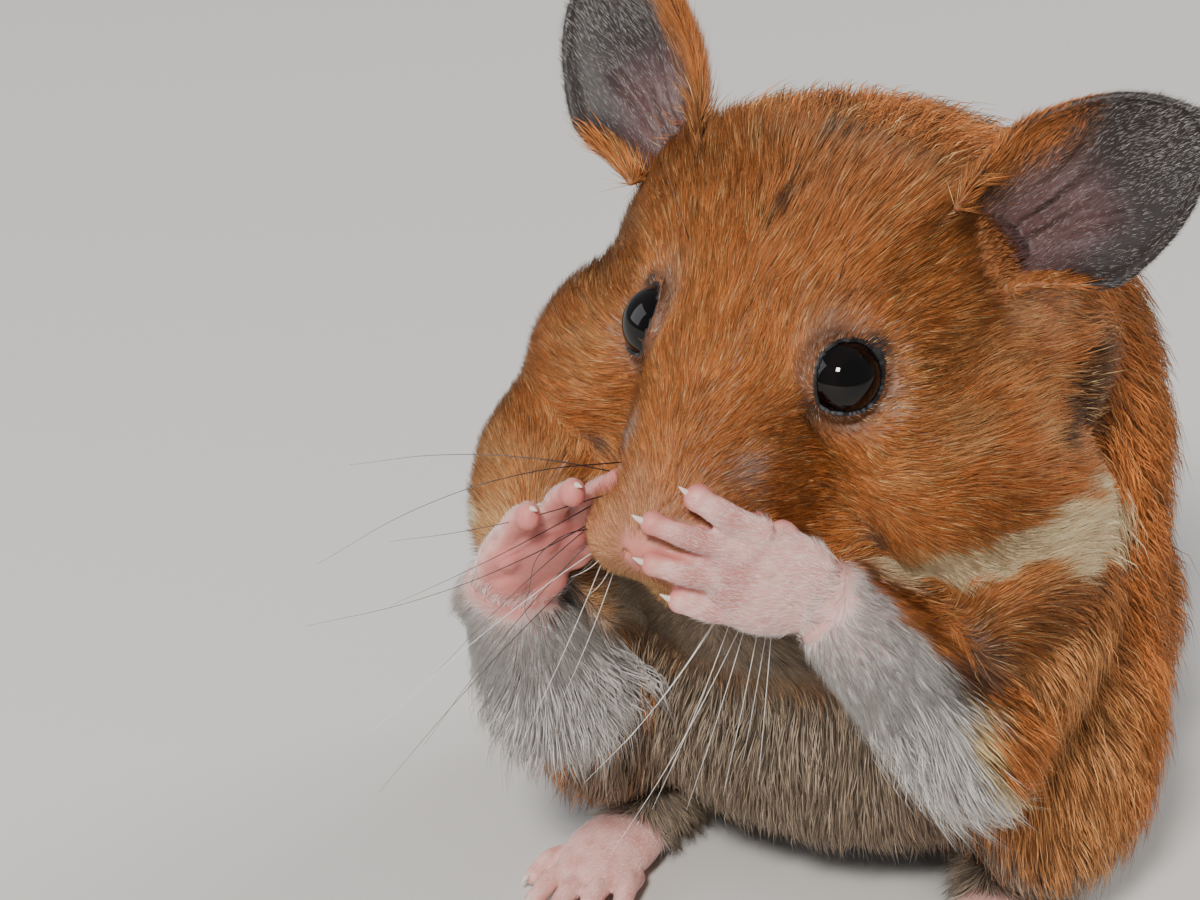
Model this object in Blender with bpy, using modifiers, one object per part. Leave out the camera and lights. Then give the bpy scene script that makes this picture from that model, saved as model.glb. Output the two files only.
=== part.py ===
"""A Syrian hamster sitting up on its haunches and washing its face, at life size.

Metres, +Z up. The body faces -Y, its left side is +X, and the origin is on the floor under the seat.
The solids follow the outer form of the coat, out to the tips of the fur.
"""

import math

import bmesh
import bpy
import numpy as np
from mathutils import Matrix, Vector

# ---------------------------------------------------------------- driving dimensions
MM = 0.001
GAP = 0.3 * MM  # between neighbouring pieces

NOSE = Vector((-6.0, -36.0, 42.0)) * MM  # tip of the nose
HEAD_YAW, HEAD_PITCH, HEAD_ROLL = -11.4, 15.8, 1.6  # turned right, nose down, left side low

EYE_RADIUS = 3.1 * MM
EYE_CENTRE = Vector((7.8, 17.5, 6.7)) * MM  # left eye, in head axes

# Each side's ear: direction from base to tip and direction across, in the axes of a left half
EAR_LENGTH, EAR_HALF_WIDTH, EAR_THICK = 16.0 * MM, 7.0 * MM, 0.9 * MM
EAR_BASE = Vector((15.6, 33.6, 11.8)) * MM
EAR_AXES = {
    1: (Vector((0.75, 0.30, 0.60)), Vector((0.65, -0.14, -0.75))),
    -1: (Vector((0.61, 0.32, 0.72)), Vector((0.76, -0.20, -0.60))),
}

# Each side's shoulder mass, elbow and wrist, then its hand: heel, where the fingers reach to, thumb side
ARMS = {1: ((18.6, -16.5, 33.5), (16.5, -23.5, 25.0), (7.6, -28.6, 36.0))}
ARMS[-1] = ((-20.0, -16.2, 33.5), (-18.4, -22.8, 21.5), (-20.0, -28.0, 32.2))
HANDS = {1: ((7.3, -28.0, 38.0), (-4.2, -38.4, 44.6), (0.32, 0.24, 0.91))}
HANDS[-1] = ((-20.0, -28.0, 32.2), (-12.0, -30.6, 45.4), (0.62, 0.75, -0.24))

BODY_VOXEL, PAW_VOXEL = 0.7 * MM, 0.34 * MM
BODY_TRIANGLES, HAND_TRIANGLES, FOOT_TRIANGLES = 2050, 400, 250

# Half sections of the head from nose to nape: distance behind the nose tip, half width,
# crown height, level of the widest line, throat depth (mm, in head axes)
HEAD_SECTIONS = (
    (0.0, 0.9, 1.3, 0.0, -1.2),
    (1.5, 3.1, 2.7, 0.0, -3.4),
    (5.0, 5.3, 5.3, -0.6, -6.2),
    (9.0, 7.0, 8.2, -0.8, -8.8),
    (13.0, 8.4, 11.0, -0.6, -10.8),
    (17.0, 10.2, 13.2, -0.6, -12.6),
    (21.0, 14.6, 15.2, -1.0, -14.2),
    (25.0, 18.6, 16.8, -1.6, -15.4),
    (30.0, 21.4, 18.0, -2.0, -16.0),
    (36.0, 22.0, 18.0, -2.0, -16.0),
    (42.0, 19.6, 15.6, -1.5, -13.5),
    (48.0, 12.0, 10.5, 0.0, -8.0),
    (50.0, 0.8, 3.0, 1.6, 0.2),
)
CROWN_SQUARENESS, JAW_SQUARENESS = 2.0, 2.3


# ---------------------------------------------------------------- helpers
def clear_scene():
    for obj in list(bpy.data.objects):
        bpy.data.objects.remove(obj)


def collection(name):
    made = bpy.data.collections.new(name)
    bpy.context.scene.collection.children.link(made)
    return made


def material(name, colour, roughness):
    mat = bpy.data.materials.new(name)
    mat.use_nodes = True
    shader = mat.node_tree.nodes["Principled BSDF"]
    shader.inputs["Base Color"].default_value = (*colour, 1.0)
    shader.inputs["Roughness"].default_value = roughness
    shader.inputs["Metallic"].default_value = 0.0
    return mat


def turned(yaw, pitch, roll):
    """Rotation of a part that faces -Y: yaw, nose-down pitch, then left-side-down roll, in degrees."""
    z, x, y = (math.radians(a) for a in (yaw, pitch, roll))
    return Matrix.Rotation(z, 4, "Z") @ Matrix.Rotation(x, 4, "X") @ Matrix.Rotation(y, 4, "Y")


def axes(origin, along, across):
    """Frame with X along, Y across (squared up to X) and Z = X x Y, for directions in world axes."""
    x = along.normalized()
    y = (across - across.dot(x) * x).normalized()
    z = x.cross(y)
    rows = Matrix((x, y, z)).transposed().to_4x4()
    return Matrix.Translation(origin) @ rows


def ball(name, centre, radii, frame=Matrix.Identity(4), turn=(0, 0, 0), segments=28, rings=16):
    """Ellipsoid from a UV sphere, its centre and radii in mm in the given frame."""
    bpy.ops.mesh.primitive_uv_sphere_add(segments=segments, ring_count=rings, radius=1.0)
    obj = bpy.context.object
    obj.name = name
    angles = [math.radians(a) for a in turn]
    spin = Matrix.Rotation(angles[2], 4, "Z")
    spin = spin @ Matrix.Rotation(angles[1], 4, "Y") @ Matrix.Rotation(angles[0], 4, "X")
    size = Matrix.Diagonal((*[r * MM for r in radii], 1.0))
    place = Matrix.Translation(Vector(centre) * MM) @ spin @ size
    obj.data.transform(frame @ place)
    if (frame @ place).determinant() < 0:
        obj.data.flip_normals()
    return obj


def limb(name, points, radii, frame=Matrix.Identity(4), sides=3):
    """Round tapered limb: a curve through points (mm) with a radius (mm) at each, closed by balls."""
    data = bpy.data.curves.new(name, "CURVE")
    data.dimensions = "3D"
    data.bevel_depth = MM
    data.bevel_resolution = sides
    data.use_fill_caps = True
    data.resolution_u = 5
    spline = data.splines.new("BEZIER")
    spline.bezier_points.add(len(points) - 1)
    for knot, point, radius in zip(spline.bezier_points, points, radii):
        knot.co = frame @ (Vector(point) * MM)
        knot.radius = radius
        knot.handle_left_type = knot.handle_right_type = "AUTO"
    curve = bpy.data.objects.new(name, data)
    bpy.context.scene.collection.objects.link(curve)
    tube = as_mesh(curve, name)
    weld(tube.data, 0.01 * MM)
    ends = [
        ball(name + "_end", point, (radius,) * 3, frame, segments=16, rings=10)
        for point, radius in ((points[0], radii[0]), (points[-1], radii[-1]))
    ]
    return [tube, *ends]


def as_mesh(obj, name):
    """A plain mesh object of what obj evaluates to; obj is removed."""
    bpy.context.view_layer.update()
    graph = bpy.context.evaluated_depsgraph_get()
    data = bpy.data.meshes.new_from_object(obj.evaluated_get(graph))
    data.transform(obj.matrix_world)
    made = bpy.data.objects.new(name, data)
    bpy.context.scene.collection.objects.link(made)
    bpy.data.objects.remove(obj)
    made.name = name
    return made


def weld(data, distance):
    bm = bmesh.new()
    bm.from_mesh(data)
    bmesh.ops.remove_doubles(bm, verts=bm.verts, dist=distance)
    bmesh.ops.recalc_face_normals(bm, faces=bm.faces)
    bm.to_mesh(data)
    bm.free()


def joined(objects, name):
    bpy.ops.object.select_all(action="DESELECT")
    for obj in objects:
        obj.select_set(True)
    bpy.context.view_layer.objects.active = objects[0]
    bpy.ops.object.join()
    objects[0].name = name
    return objects[0]


def moulded(objects, name, voxel, smoothing, triangles):
    """Joins overlapping forms into one flowing closed body of about so many triangles."""
    obj = joined(objects, name)
    remesh = obj.modifiers.new("Mould", "REMESH")
    remesh.mode = "VOXEL"
    remesh.voxel_size = voxel
    smooth = obj.modifiers.new("Smooth", "SMOOTH")
    smooth.factor = 0.5
    smooth.iterations = smoothing
    obj = as_mesh(obj, name)
    obj.data.calc_loop_triangles()
    thin = obj.modifiers.new("Thin out", "DECIMATE")
    thin.ratio = min(1.0, triangles / len(obj.data.loop_triangles))
    thin.use_collapse_triangulate = True
    return as_mesh(obj, name)


def copy_of(obj, name):
    made = bpy.data.objects.new(name, obj.data.copy())
    bpy.context.scene.collection.objects.link(made)
    return made


def grown(obj, by):
    """A copy of obj with its surface moved outwards, for cutting a neighbour with clearance."""
    made = copy_of(obj, obj.name + "_grown")
    swell = made.modifiers.new("Swell", "DISPLACE")
    swell.strength = by
    swell.mid_level = 0.0
    return as_mesh(made, obj.name + "_grown")


def cut(obj, cutter, operation="DIFFERENCE", keep_cutter=False):
    name = obj.name
    boolean = obj.modifiers.new("Cut", "BOOLEAN")
    boolean.operation = operation
    boolean.solver = "EXACT"
    boolean.object = cutter
    made = as_mesh(obj, name)
    weld(made.data, 0.001 * MM)
    if not keep_cutter:
        bpy.data.objects.remove(cutter)
    return made


def box(name, low, high, frame=Matrix.Identity(4)):
    bpy.ops.mesh.primitive_cube_add(size=1.0)
    obj = bpy.context.object
    obj.name = name
    size = Vector(high) - Vector(low)
    centre = (Vector(high) + Vector(low)) / 2
    obj.data.transform(frame @ Matrix.Translation(centre * MM) @ Matrix.Diagonal((*(size * MM), 1.0)))
    return obj


def main_body(obj):
    """Removes the crumbs that a cut can leave beside the main body."""
    bm = bmesh.new()
    bm.from_mesh(obj.data)
    bodies, left = [], set(bm.verts)
    while left:
        body, edge = set(), [left.pop()]
        while edge:
            vertex = edge.pop()
            body.add(vertex)
            near = {e.other_vert(vertex) for e in vertex.link_edges} & left
            left -= near
            edge += list(near)
        bodies.append(body)
    bodies.sort(key=len)
    bmesh.ops.delete(bm, geom=[v for body in bodies[:-1] for v in body], context="VERTS")
    bm.to_mesh(obj.data)
    bm.free()
    return obj


def split(whole, zone_maker, name):
    """Cuts what lies inside a zone off as its own body; zone_maker(extra) makes the zone, extra mm larger."""
    piece = copy_of(whole, name)
    piece = cut(piece, zone_maker(0.0), "INTERSECT")
    rest = cut(whole, zone_maker(GAP / MM))
    return main_body(piece), main_body(rest)


def smooth_rows(rows, at):
    """Monotone cubic through the rows' columns at the given values of their first column."""
    table = np.array(rows)
    x = table[:, 0]
    found = []
    for column in table[:, 1:].T:
        steps = np.diff(column) / np.diff(x)
        slopes = np.zeros(len(x))
        slopes[0], slopes[-1] = steps[0], steps[-1]
        same_way = steps[1:] * steps[:-1] > 0
        inner = np.zeros(len(steps) - 1)
        inner[same_way] = 2 * steps[1:][same_way] * steps[:-1][same_way] / (steps[1:] + steps[:-1])[same_way]
        slopes[1:-1] = inner
        i = np.clip(np.searchsorted(x, at, side="right") - 1, 0, len(x) - 2)
        width = x[i + 1] - x[i]
        t = (at - x[i]) / width
        h00, h10 = 2 * t**3 - 3 * t**2 + 1, t**3 - 2 * t**2 + t
        h01, h11 = -2 * t**3 + 3 * t**2, t**3 - t**2
        start = h00 * column[i] + h10 * width * slopes[i]
        found.append(start + h01 * column[i + 1] + h11 * width * slopes[i + 1])
    return np.array(found)


# ---------------------------------------------------------------- forms
HEAD = Matrix.Translation(NOSE) @ turned(HEAD_YAW, HEAD_PITCH, HEAD_ROLL)


def skull_form():
    """Head from nose to nape: a UV sphere, its poles the two ends, each ring drawn out to its section."""
    bpy.ops.mesh.primitive_uv_sphere_add(segments=40, ring_count=40, radius=1.0)
    obj = bpy.context.object
    length = HEAD_SECTIONS[-1][0]
    for vertex in obj.data.vertices:
        x, y, z = vertex.co
        back = length * (1 + z) / 2 if abs(z) < 0.9999 else length * (z > 0)
        ring = math.hypot(x, y)
        half_width, crown, level, throat = smooth_rows(HEAD_SECTIONS, back)
        if ring < 1e-5:
            vertex.co = Vector((0, back, level)) * MM
            continue
        side, up = x / ring, y / ring
        square = CROWN_SQUARENESS if up > 0 else JAW_SQUARENESS
        reach = (abs(side) ** square + abs(up) ** square) ** (-1 / square)
        height = crown - level if up > 0 else level - throat
        vertex.co = Vector((side * reach * half_width, back, level + up * reach * height)) * MM
    obj.data.transform(HEAD)
    weld(obj.data, 0.002 * MM)
    return obj


def face_forms():
    """What stands out on the skull form: nose, whisker pads, chin, brows and the cheek pouches."""
    forms = [
        ball("nose", (0, 0.9, 0.6), (1.7, 1.7, 1.4), HEAD),
        ball("chin", (0, 7.5, -6.0), (3.2, 5.0, 2.9), HEAD),
    ]
    for side in (1, -1):
        forms += [
            ball("whisker_pad", (3.4 * side, 4.8, -1.5), (3.4, 4.6, 3.5), HEAD),
            ball("pouch", (12.4 * side, 23.0, -3.6), (11.6, 10.4, 10.4), HEAD, segments=32, rings=18),
            ball("nape_corner", (11.0 * side, 35.0, -1.0), (11.4, 9.5, 12.0), HEAD, segments=32, rings=18),
        ]
    return forms


def body_forms():
    """Trunk, seat, haunches, shoulders and upper arms as overlapping ellipsoids."""
    forms = [
        ball("back", (0, 4.8, 32.0), (25.6, 25.2, 33.2)),
        ball("belly", (0, 1.0, 24.0), (26.5, 24.0, 25.0)),
        ball("chest", (0, -8.0, 37.0), (22.0, 18.5, 17.0)),
        ball("seat", (0, 9.5, 19.0), (26.6, 21.5, 20.2)),
        ball("neck", (-0.8, 0.5, 48.0), (20.6, 18.0, 18.6)),
    ]
    for side in (1, -1):
        forms += [
            ball("haunch", (18.5 * side, -3.0, 15.5), (10.0, 16.0, 16.5), turn=(-12, 0, 6 * side)),
            ball("upper_arm", ARMS[side][0], (8.2, 9.6, 13.5), turn=(-28, 6 * side, 0)),
            *limb("forearm", forearm_line(side), (6.2, 5.2, 3.8)),
        ]
    return forms


def hand_frame(side):
    """X from heel to fingertips, Y to the thumb side, Z out of the palm: left-handed for the right hand."""
    heel, fingers, thumb_side = (Vector(place) for place in HANDS[side])
    return axes(heel * MM, fingers - heel, thumb_side) @ Matrix.Diagonal((1.0, 1.0, side, 1.0))


def forearm_line(side):
    """Elbow, middle and wrist, in mm."""
    elbow, wrist = Vector(ARMS[side][1]), Vector(ARMS[side][2])
    return elbow, elbow * 0.45 + wrist * 0.55, wrist


def forearm_frame(side):
    """Middle of the forearm, its direction towards the wrist, and a direction across it."""
    elbow, _, wrist = forearm_line(side)
    return (elbow + wrist) / 2 * MM, wrist - elbow, Vector((0, 0, 1))


DIGITS = (
    # distance from the wrist, place across the palm, fan angle, length, radius
    (9.0, 3.0, 11.0, 5.6, 1.25),
    (9.8, 1.3, -1.0, 7.2, 1.15),
    (9.3, -1.1, -7.0, 6.3, 1.2),
    (7.1, -3.6, -6.0, 5.2, 1.15),
)
KNUCKLE_BEND, TIP_BEND = 5.0, 15.0


def hand_forms(frame):
    """Palm, pads, thumb stub, four digits in two bends each, and claws. The palm faces +Z of the frame."""
    forms = [
        ball("wrist", (1.0, -1.0, 0.0), (3.6, 3.2, 2.8), frame),
        ball("palm", (6.0, -0.6, 0.0), (5.4, 4.3, 2.2), frame),
        ball("heel_pad", (3.6, -1.9, 1.3), (1.9, 1.5, 1.2), frame),
        ball("thumb_pad", (3.6, 1.5, 1.3), (1.8, 1.4, 1.2), frame),
        ball("thumb", (6.2, 3.1, 0.8), (1.5, 0.9, 0.85), frame, turn=(0, 0, 25)),
    ]
    for out, across, fan, length, radius in DIGITS:
        forms.append(ball("digit_pad", (out - 0.6, across * 0.92, 1.2), (1.2, 1.0, 0.9), frame))
        start = Vector((out, across, 0.0))
        middle = start + heading(fan, KNUCKLE_BEND) * length * 0.55
        forward = heading(fan, KNUCKLE_BEND + TIP_BEND)
        tip = middle + forward * length * 0.45
        forms += limb("digit", (start, middle, tip), (radius, radius * 0.88, radius * 0.84), frame)
        claw_tip = tip + forward * 1.9 + Vector((0, 0, 0.35))
        forms += limb("claw", (tip + forward * 0.3, claw_tip), (0.5, 0.3), frame, sides=2)
    return forms


def heading(fan, dip):
    """Direction in a paw's frame: fanned to the thumb side and dipped to the palm side, in degrees."""
    a, b = math.radians(fan), math.radians(dip)
    return Vector((math.cos(a) * math.cos(b), math.sin(a) * math.cos(b), math.sin(b)))


def foot_forms(side):
    """Hind foot flat on the floor, five toes spread a little, heel under the haunch."""
    turn = Matrix.Rotation(math.radians(9 * side), 4, "Z")
    frame = Matrix.Translation(Vector((15.5 * side, -9.0, 0.0)) * MM) @ turn
    forms = [
        ball("heel", (0, 2.0, 2.6), (3.3, 6.0, 3.0), frame),
        ball("sole", (0, -6.0, 2.1), (3.7, 6.6, 2.5), frame),
    ]
    for i, length in enumerate((3.6, 5.4, 6.0, 5.6, 4.2)):
        across = (i - 2) * 1.6
        spread = math.radians((i - 2) * 9)
        start = Vector((across, -9.6 + 0.35 * (i - 2) ** 2, 1.5))
        forward = Vector((math.sin(spread), -math.cos(spread), 0.0))
        middle = start + forward * length * 0.55 + Vector((0, 0, 0.35))
        tip = start + forward * length - Vector((0, 0, 0.45))
        forms += limb("toe", (start, middle, tip), (1.15, 1.0, 0.9), frame)
        claw_tip = tip + forward * 1.9 - Vector((0, 0, 0.3))
        forms += limb("toe_claw", (tip, claw_tip), (0.5, 0.32), frame, sides=2)
    return forms


def ear_solid(name, side):
    """Rounded ear: a leaf of a grid, cupped towards its front, given its thickness by Solidify."""
    frame = axes(EAR_BASE, *EAR_AXES[side])
    rows, columns = 8, 7
    bpy.ops.mesh.primitive_grid_add(x_subdivisions=rows, y_subdivisions=columns, size=2.0)
    obj = bpy.context.object
    for vertex in obj.data.vertices:
        u, v = math.sin(math.pi / 4 * (vertex.co.x + 1)), vertex.co.y
        length = u * EAR_LENGTH - 3.0 * MM * (1 - u)
        round_off = math.sqrt(max(0.0, 1 - max(0.0, (u - 0.30) / 0.70) ** 2.3))
        half = EAR_HALF_WIDTH * (0.62 + 0.38 * math.sin(math.pi * min(u / 0.9, 0.5))) * round_off
        half = max(half, 0.9 * MM * (1.6 - u))
        cup = 4.2 * MM * (1 - 0.45 * u) * v * v * max(round_off, 0.2) - 1.1 * MM * math.sin(math.pi * u)
        lean = 1.4 * MM * u * u
        vertex.co = Vector((length - 0.9 * MM * v * v * u, v * half, -cup + lean))
    obj.data.transform(frame)
    obj.data.transform(Matrix.Diagonal((side, 1.0, 1.0, 1.0)))
    obj.data.transform(HEAD)
    weld(obj.data, 0.01 * MM)
    shell = obj.modifiers.new("Thickness", "SOLIDIFY")
    shell.thickness = EAR_THICK
    shell.offset = 0.0
    obj = as_mesh(obj, name)
    weld(obj.data, 0.002 * MM)
    return obj


def tail_solid():
    forms = limb("tail_form", ((0, 24.0, 6.5), (0, 31.0, 4.6), (0.4, 34.6, 2.6)), (3.0, 2.2, 1.3))
    return moulded(forms, "tail", 0.5 * MM, 2, 120)


# ---------------------------------------------------------------- the animal
FUR, BARE_SKIN = ((0.55, 0.26, 0.10), 0.7), ((0.62, 0.40, 0.38), 0.5)
EAR_SKIN, EYE_BLACK = ((0.12, 0.10, 0.10), 0.6), ((0.01, 0.008, 0.007), 0.08)
SIDES = (("left", 1), ("right", -1))


def forearm_zone(side, extra):
    middle, along, across = forearm_frame(side)
    reach = 8.4 + extra
    frame = axes(middle, along, across)
    return ball("forearm_zone", (-1.4, 0, 0), (13.4 + extra, reach, reach), frame, segments=16, rings=10)


def arm_zone(side, extra):
    radii = [r + extra for r in (10.5, 12.5, 12.5)]
    turn = (-24, 6 * side, 0)
    return ball("arm_zone", (22.0 * side, -18.5, 26.0), radii, turn=turn, segments=18, rings=10)


def thigh_zone(side, extra):
    radii = [r + extra for r in (11.0, 17.0, 17.5)]
    turn = (-12, 0, 6 * side)
    return ball("thigh_zone", (24.0 * side, -3.0, 13.0), radii, turn=turn, segments=18, rings=10)


def head_zone(extra):
    return box("head_zone", (-60, -30, -15.6 - extra), (60, 39 + extra, 60), HEAD)


def neck_zone(extra):
    return ball("neck_zone", (0, 33, 0), (45 + extra, 15 + extra, 26 + extra), HEAD, segments=20, rings=10)


def eye_ball(name, side, extra=0.0):
    centre = Vector((EYE_CENTRE.x * side, EYE_CENTRE.y, EYE_CENTRE.z)) / MM
    return ball(name, centre, (EYE_RADIUS / MM + extra,) * 3, HEAD, segments=16, rings=8)


def build():
    clear_scene()
    animal = collection("syrian_hamster")
    pieces = {}

    whole = [skull_form(), *face_forms(), *body_forms()]
    whole = moulded(whole, "whole", BODY_VOXEL, 10, BODY_TRIANGLES)
    whole = cut(whole, box("floor_cut", (-60, -60, -20), (60, 60, 0)))
    outside = grown(whole, GAP)

    # hands, feet, tail and ears are trimmed where they enter the body
    for word, side in SIDES:
        hand = moulded(hand_forms(hand_frame(side)), "hand_" + word, PAW_VOXEL, 2, HAND_TRIANGLES)
        foot = moulded(foot_forms(side), "hind_foot_" + word, PAW_VOXEL, 2, FOOT_TRIANGLES)
        foot = cut(foot, box("sole_cut", (-60, -60, -20), (60, 60, 0)))
        ear = ear_solid("ear_" + word, side)
        for piece, look in ((hand, BARE_SKIN), (foot, BARE_SKIN), (ear, EAR_SKIN)):
            piece = main_body(cut(piece, outside, keep_cutter=True))
            pieces[piece.name] = (piece, look)
    pieces["tail"] = (main_body(cut(tail_solid(), outside)), BARE_SKIN)

    # the whole body is then parted by thin cuts
    for word, side in SIDES:
        forearm, whole = split(whole, lambda extra: forearm_zone(side, extra), "forearm_" + word)
        arm, whole = split(whole, lambda extra: arm_zone(side, extra), "upper_arm_" + word)
        thigh, whole = split(whole, lambda extra: thigh_zone(side, extra), "hind_leg_" + word)
        pieces.update({piece.name: (piece, FUR) for piece in (forearm, arm, thigh)})
    head, whole = split(whole, head_zone, "head")
    neck, whole = split(whole, neck_zone, "neck")
    pieces["neck"] = (neck, FUR)
    pieces["trunk"] = (whole, FUR)

    for word, side in SIDES:
        head = cut(head, eye_ball("socket", side, GAP / MM))
        pieces["eye_" + word] = (eye_ball("eye_" + word, side), EYE_BLACK)
    pieces["head"] = (head, FUR)

    for name, (obj, (colour, roughness)) in pieces.items():
        obj.name = name
        obj.data.materials.clear()
        obj.data.materials.append(material(name, colour, roughness))
        obj.data.shade_smooth()
        for holder in list(obj.users_collection):
            holder.objects.unlink(obj)
        animal.objects.link(obj)
    for obj in list(bpy.data.objects):
        if obj.name not in pieces:
            bpy.data.objects.remove(obj)


build()
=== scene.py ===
"""A Syrian hamster sitting up and washing its face: skin, eyes, claws, coat and whiskers.

Metres, +Z up. The animal faces -Y with its head turned to its right, and its left side is +X.
Sizes in the sections below are in millimetres and turned into metres where a shape is made.
"""

import math

import bpy
import numpy as np
from mathutils import Matrix, Vector, bvhtree, kdtree


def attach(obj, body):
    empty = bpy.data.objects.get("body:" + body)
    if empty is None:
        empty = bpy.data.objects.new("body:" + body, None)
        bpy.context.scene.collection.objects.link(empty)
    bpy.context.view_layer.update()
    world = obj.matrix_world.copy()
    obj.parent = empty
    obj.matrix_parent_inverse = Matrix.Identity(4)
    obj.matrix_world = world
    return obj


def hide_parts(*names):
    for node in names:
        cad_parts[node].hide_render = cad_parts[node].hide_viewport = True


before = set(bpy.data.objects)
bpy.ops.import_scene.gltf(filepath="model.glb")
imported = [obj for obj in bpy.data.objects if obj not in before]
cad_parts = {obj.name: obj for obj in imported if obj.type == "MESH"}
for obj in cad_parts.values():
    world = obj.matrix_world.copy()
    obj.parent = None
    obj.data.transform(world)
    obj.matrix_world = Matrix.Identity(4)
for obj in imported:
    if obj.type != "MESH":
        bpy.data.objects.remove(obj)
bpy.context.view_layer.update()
bpy.ops.object.select_all(action="DESELECT")

MM = 0.001
SIDES = (("left", 1), ("right", -1))


# ---------------------------------------------------------------- floor, lamps and camera
# The model is shown on a plain pale floor. A soft lamp stands high in front, a second fills from the
# animal's right, and a third behind picks out the coat's edge. The camera looks down by 26 degrees.
FLOOR_SIZE, FLOOR_GREY = 8.0, (0.62, 0.60, 0.57, 1)
bpy.ops.mesh.primitive_plane_add(size=FLOOR_SIZE)
floor = bpy.context.object
floor.name = "floor"
paint = bpy.data.materials.new("floor_paint")
paint.use_nodes = True
paint.node_tree.nodes["Principled BSDF"].inputs["Base Color"].default_value = FLOOR_GREY
paint.node_tree.nodes["Principled BSDF"].inputs["Roughness"].default_value = 0.9
floor.data.materials.append(paint)

SKY_COLOUR, SKY_STRENGTH = (0.90, 0.93, 1.0, 1), 0.30
room = bpy.data.worlds.new("room")
bpy.context.scene.world = room
room.use_nodes = True
room.node_tree.nodes["Background"].inputs["Color"].default_value = SKY_COLOUR
room.node_tree.nodes["Background"].inputs["Strength"].default_value = SKY_STRENGTH

TARGET = Vector((0, -12, 40)) * MM  # what the lamps are aimed at
for name, place, size, power, colour in (
    ("key_lamp", (0.06, -0.66, 0.66), 0.16, 9.5, (1.0, 0.97, 0.93)),
    ("fill_lamp", (-0.70, -0.30, 0.40), 0.6, 3.0, (0.92, 0.95, 1.0)),
    ("edge_lamp", (0.45, 0.60, 0.60), 0.35, 5.0, (1.0, 0.97, 0.93)),
):
    bpy.ops.object.light_add(type="AREA", location=place)
    lamp = bpy.context.object
    lamp.name = name
    lamp.data.size = size
    lamp.data.energy = power
    lamp.data.color = colour
    lamp.rotation_euler = (lamp.location - TARGET).to_track_quat("Z", "Y").to_euler()

NOSE = Vector((-6.0, -36.0, 42.0)) * MM
VIEW_TURN, VIEW_DIP = math.radians(22), math.radians(26)
VIEW_DISTANCE, SENSOR_WIDTH, FOCAL_LENGTH = 0.26, 36, 106.2  # metres, then mm
NOSE_LEFT, NOSE_BELOW = 2.88, 8.03  # how far the nose lies from the middle of the view, mm
to_right = Vector((math.cos(VIEW_TURN), math.sin(VIEW_TURN), 0))
to_camera = Vector((math.sin(VIEW_TURN), -math.cos(VIEW_TURN), 0)) * math.cos(VIEW_DIP)
to_camera.z = math.sin(VIEW_DIP)
view_up = to_camera.cross(to_right)
middle = NOSE - to_right * NOSE_LEFT * MM + view_up * NOSE_BELOW * MM
bpy.ops.object.camera_add(location=middle + to_camera * VIEW_DISTANCE)
camera = bpy.context.object
camera.name = "camera"
camera.rotation_euler = Matrix((to_right, view_up, to_camera)).transposed().to_euler()
camera.data.sensor_width = SENSOR_WIDTH
camera.data.lens = FOCAL_LENGTH
camera.data.clip_start = 0.01
bpy.context.scene.camera = camera


# ---------------------------------------------------------------- skin
# One skin over the whole body: bare and pink on nose, hands and soles, thin and grey on the ears, and
# elsewhere under the coat by the coat's depth. It is moulded from the solids, with finer paws and ears.
HEAD = Matrix.Translation(NOSE) @ Matrix.Rotation(math.radians(-11.4), 4, "Z")
HEAD = HEAD @ Matrix.Rotation(math.radians(15.8), 4, "X") @ Matrix.Rotation(math.radians(1.6), 4, "Y")
EYE_CENTRE, EYE_RADIUS, EYE_AXIS = (7.8, 17.5, 6.7), 3.1, (0.73, -0.42, 0.54)
LID_THICKNESS, LID_HALF_ANGLE = 0.24, 56.0
# each side's elbow and wrist, then its hand: heel, where the fingers reach to, and the thumb side
ARMS = {1: ((16.5, -23.5, 25.0), (7.6, -28.6, 36.0)), -1: ((-18.4, -22.8, 21.5), (-20.0, -28.0, 32.2))}
FOREARM_RADII = (6.2, 5.2, 3.8)
HANDS = {
    1: ((7.3, -28.0, 38.0), (-4.2, -38.4, 44.6), (0.32, 0.24, 0.91)),
    -1: ((-20.0, -28.0, 32.2), (-12.0, -30.6, 45.4), (0.62, 0.75, -0.24)),
}
EAR_BASE, EAR_LENGTH, EAR_HALF_WIDTH, EAR_THICKNESS = (15.6, 33.6, 11.8), 16.0, 7.0, 0.62
EAR_AXES = {
    1: ((0.75, 0.30, 0.60), (0.65, -0.14, -0.75)),
    -1: ((0.61, 0.32, 0.72), (0.76, -0.20, -0.60)),
}
# distance from the heel, place across the palm, fan angle, length, radius
DIGITS = (
    (9.0, 3.0, 11.0, 5.6, 1.22),
    (9.8, 1.3, -1.0, 7.2, 1.05),
    (9.3, -1.1, -7.0, 6.3, 1.12),
    (7.1, -3.6, -6.0, 5.2, 1.12),
)
TOE_LENGTHS = (3.6, 5.4, 6.0, 5.6, 4.2)
BODY_VOXEL, SKIN_VOXEL, SKIN_TRIANGLES = 0.5, 0.23, 188000
BODY_SMOOTHING, SKIN_SMOOTHING = 30, 3


def axes(origin, along, across):
    """Frame with X along, Y across (squared up to X) and Z = X x Y, its origin in mm."""
    x = Vector(along).normalized()
    y = (Vector(across) - Vector(across).dot(x) * x).normalized()
    turn = Matrix((x, y, x.cross(y))).transposed().to_4x4()
    return Matrix.Translation(Vector(origin) * MM) @ turn


def select(*objects):
    """Selects these objects alone, with the first as the active one."""
    bpy.ops.object.select_all(action="DESELECT")
    for obj in objects:
        obj.select_set(True)
    bpy.context.view_layer.objects.active = objects[0]


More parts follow.
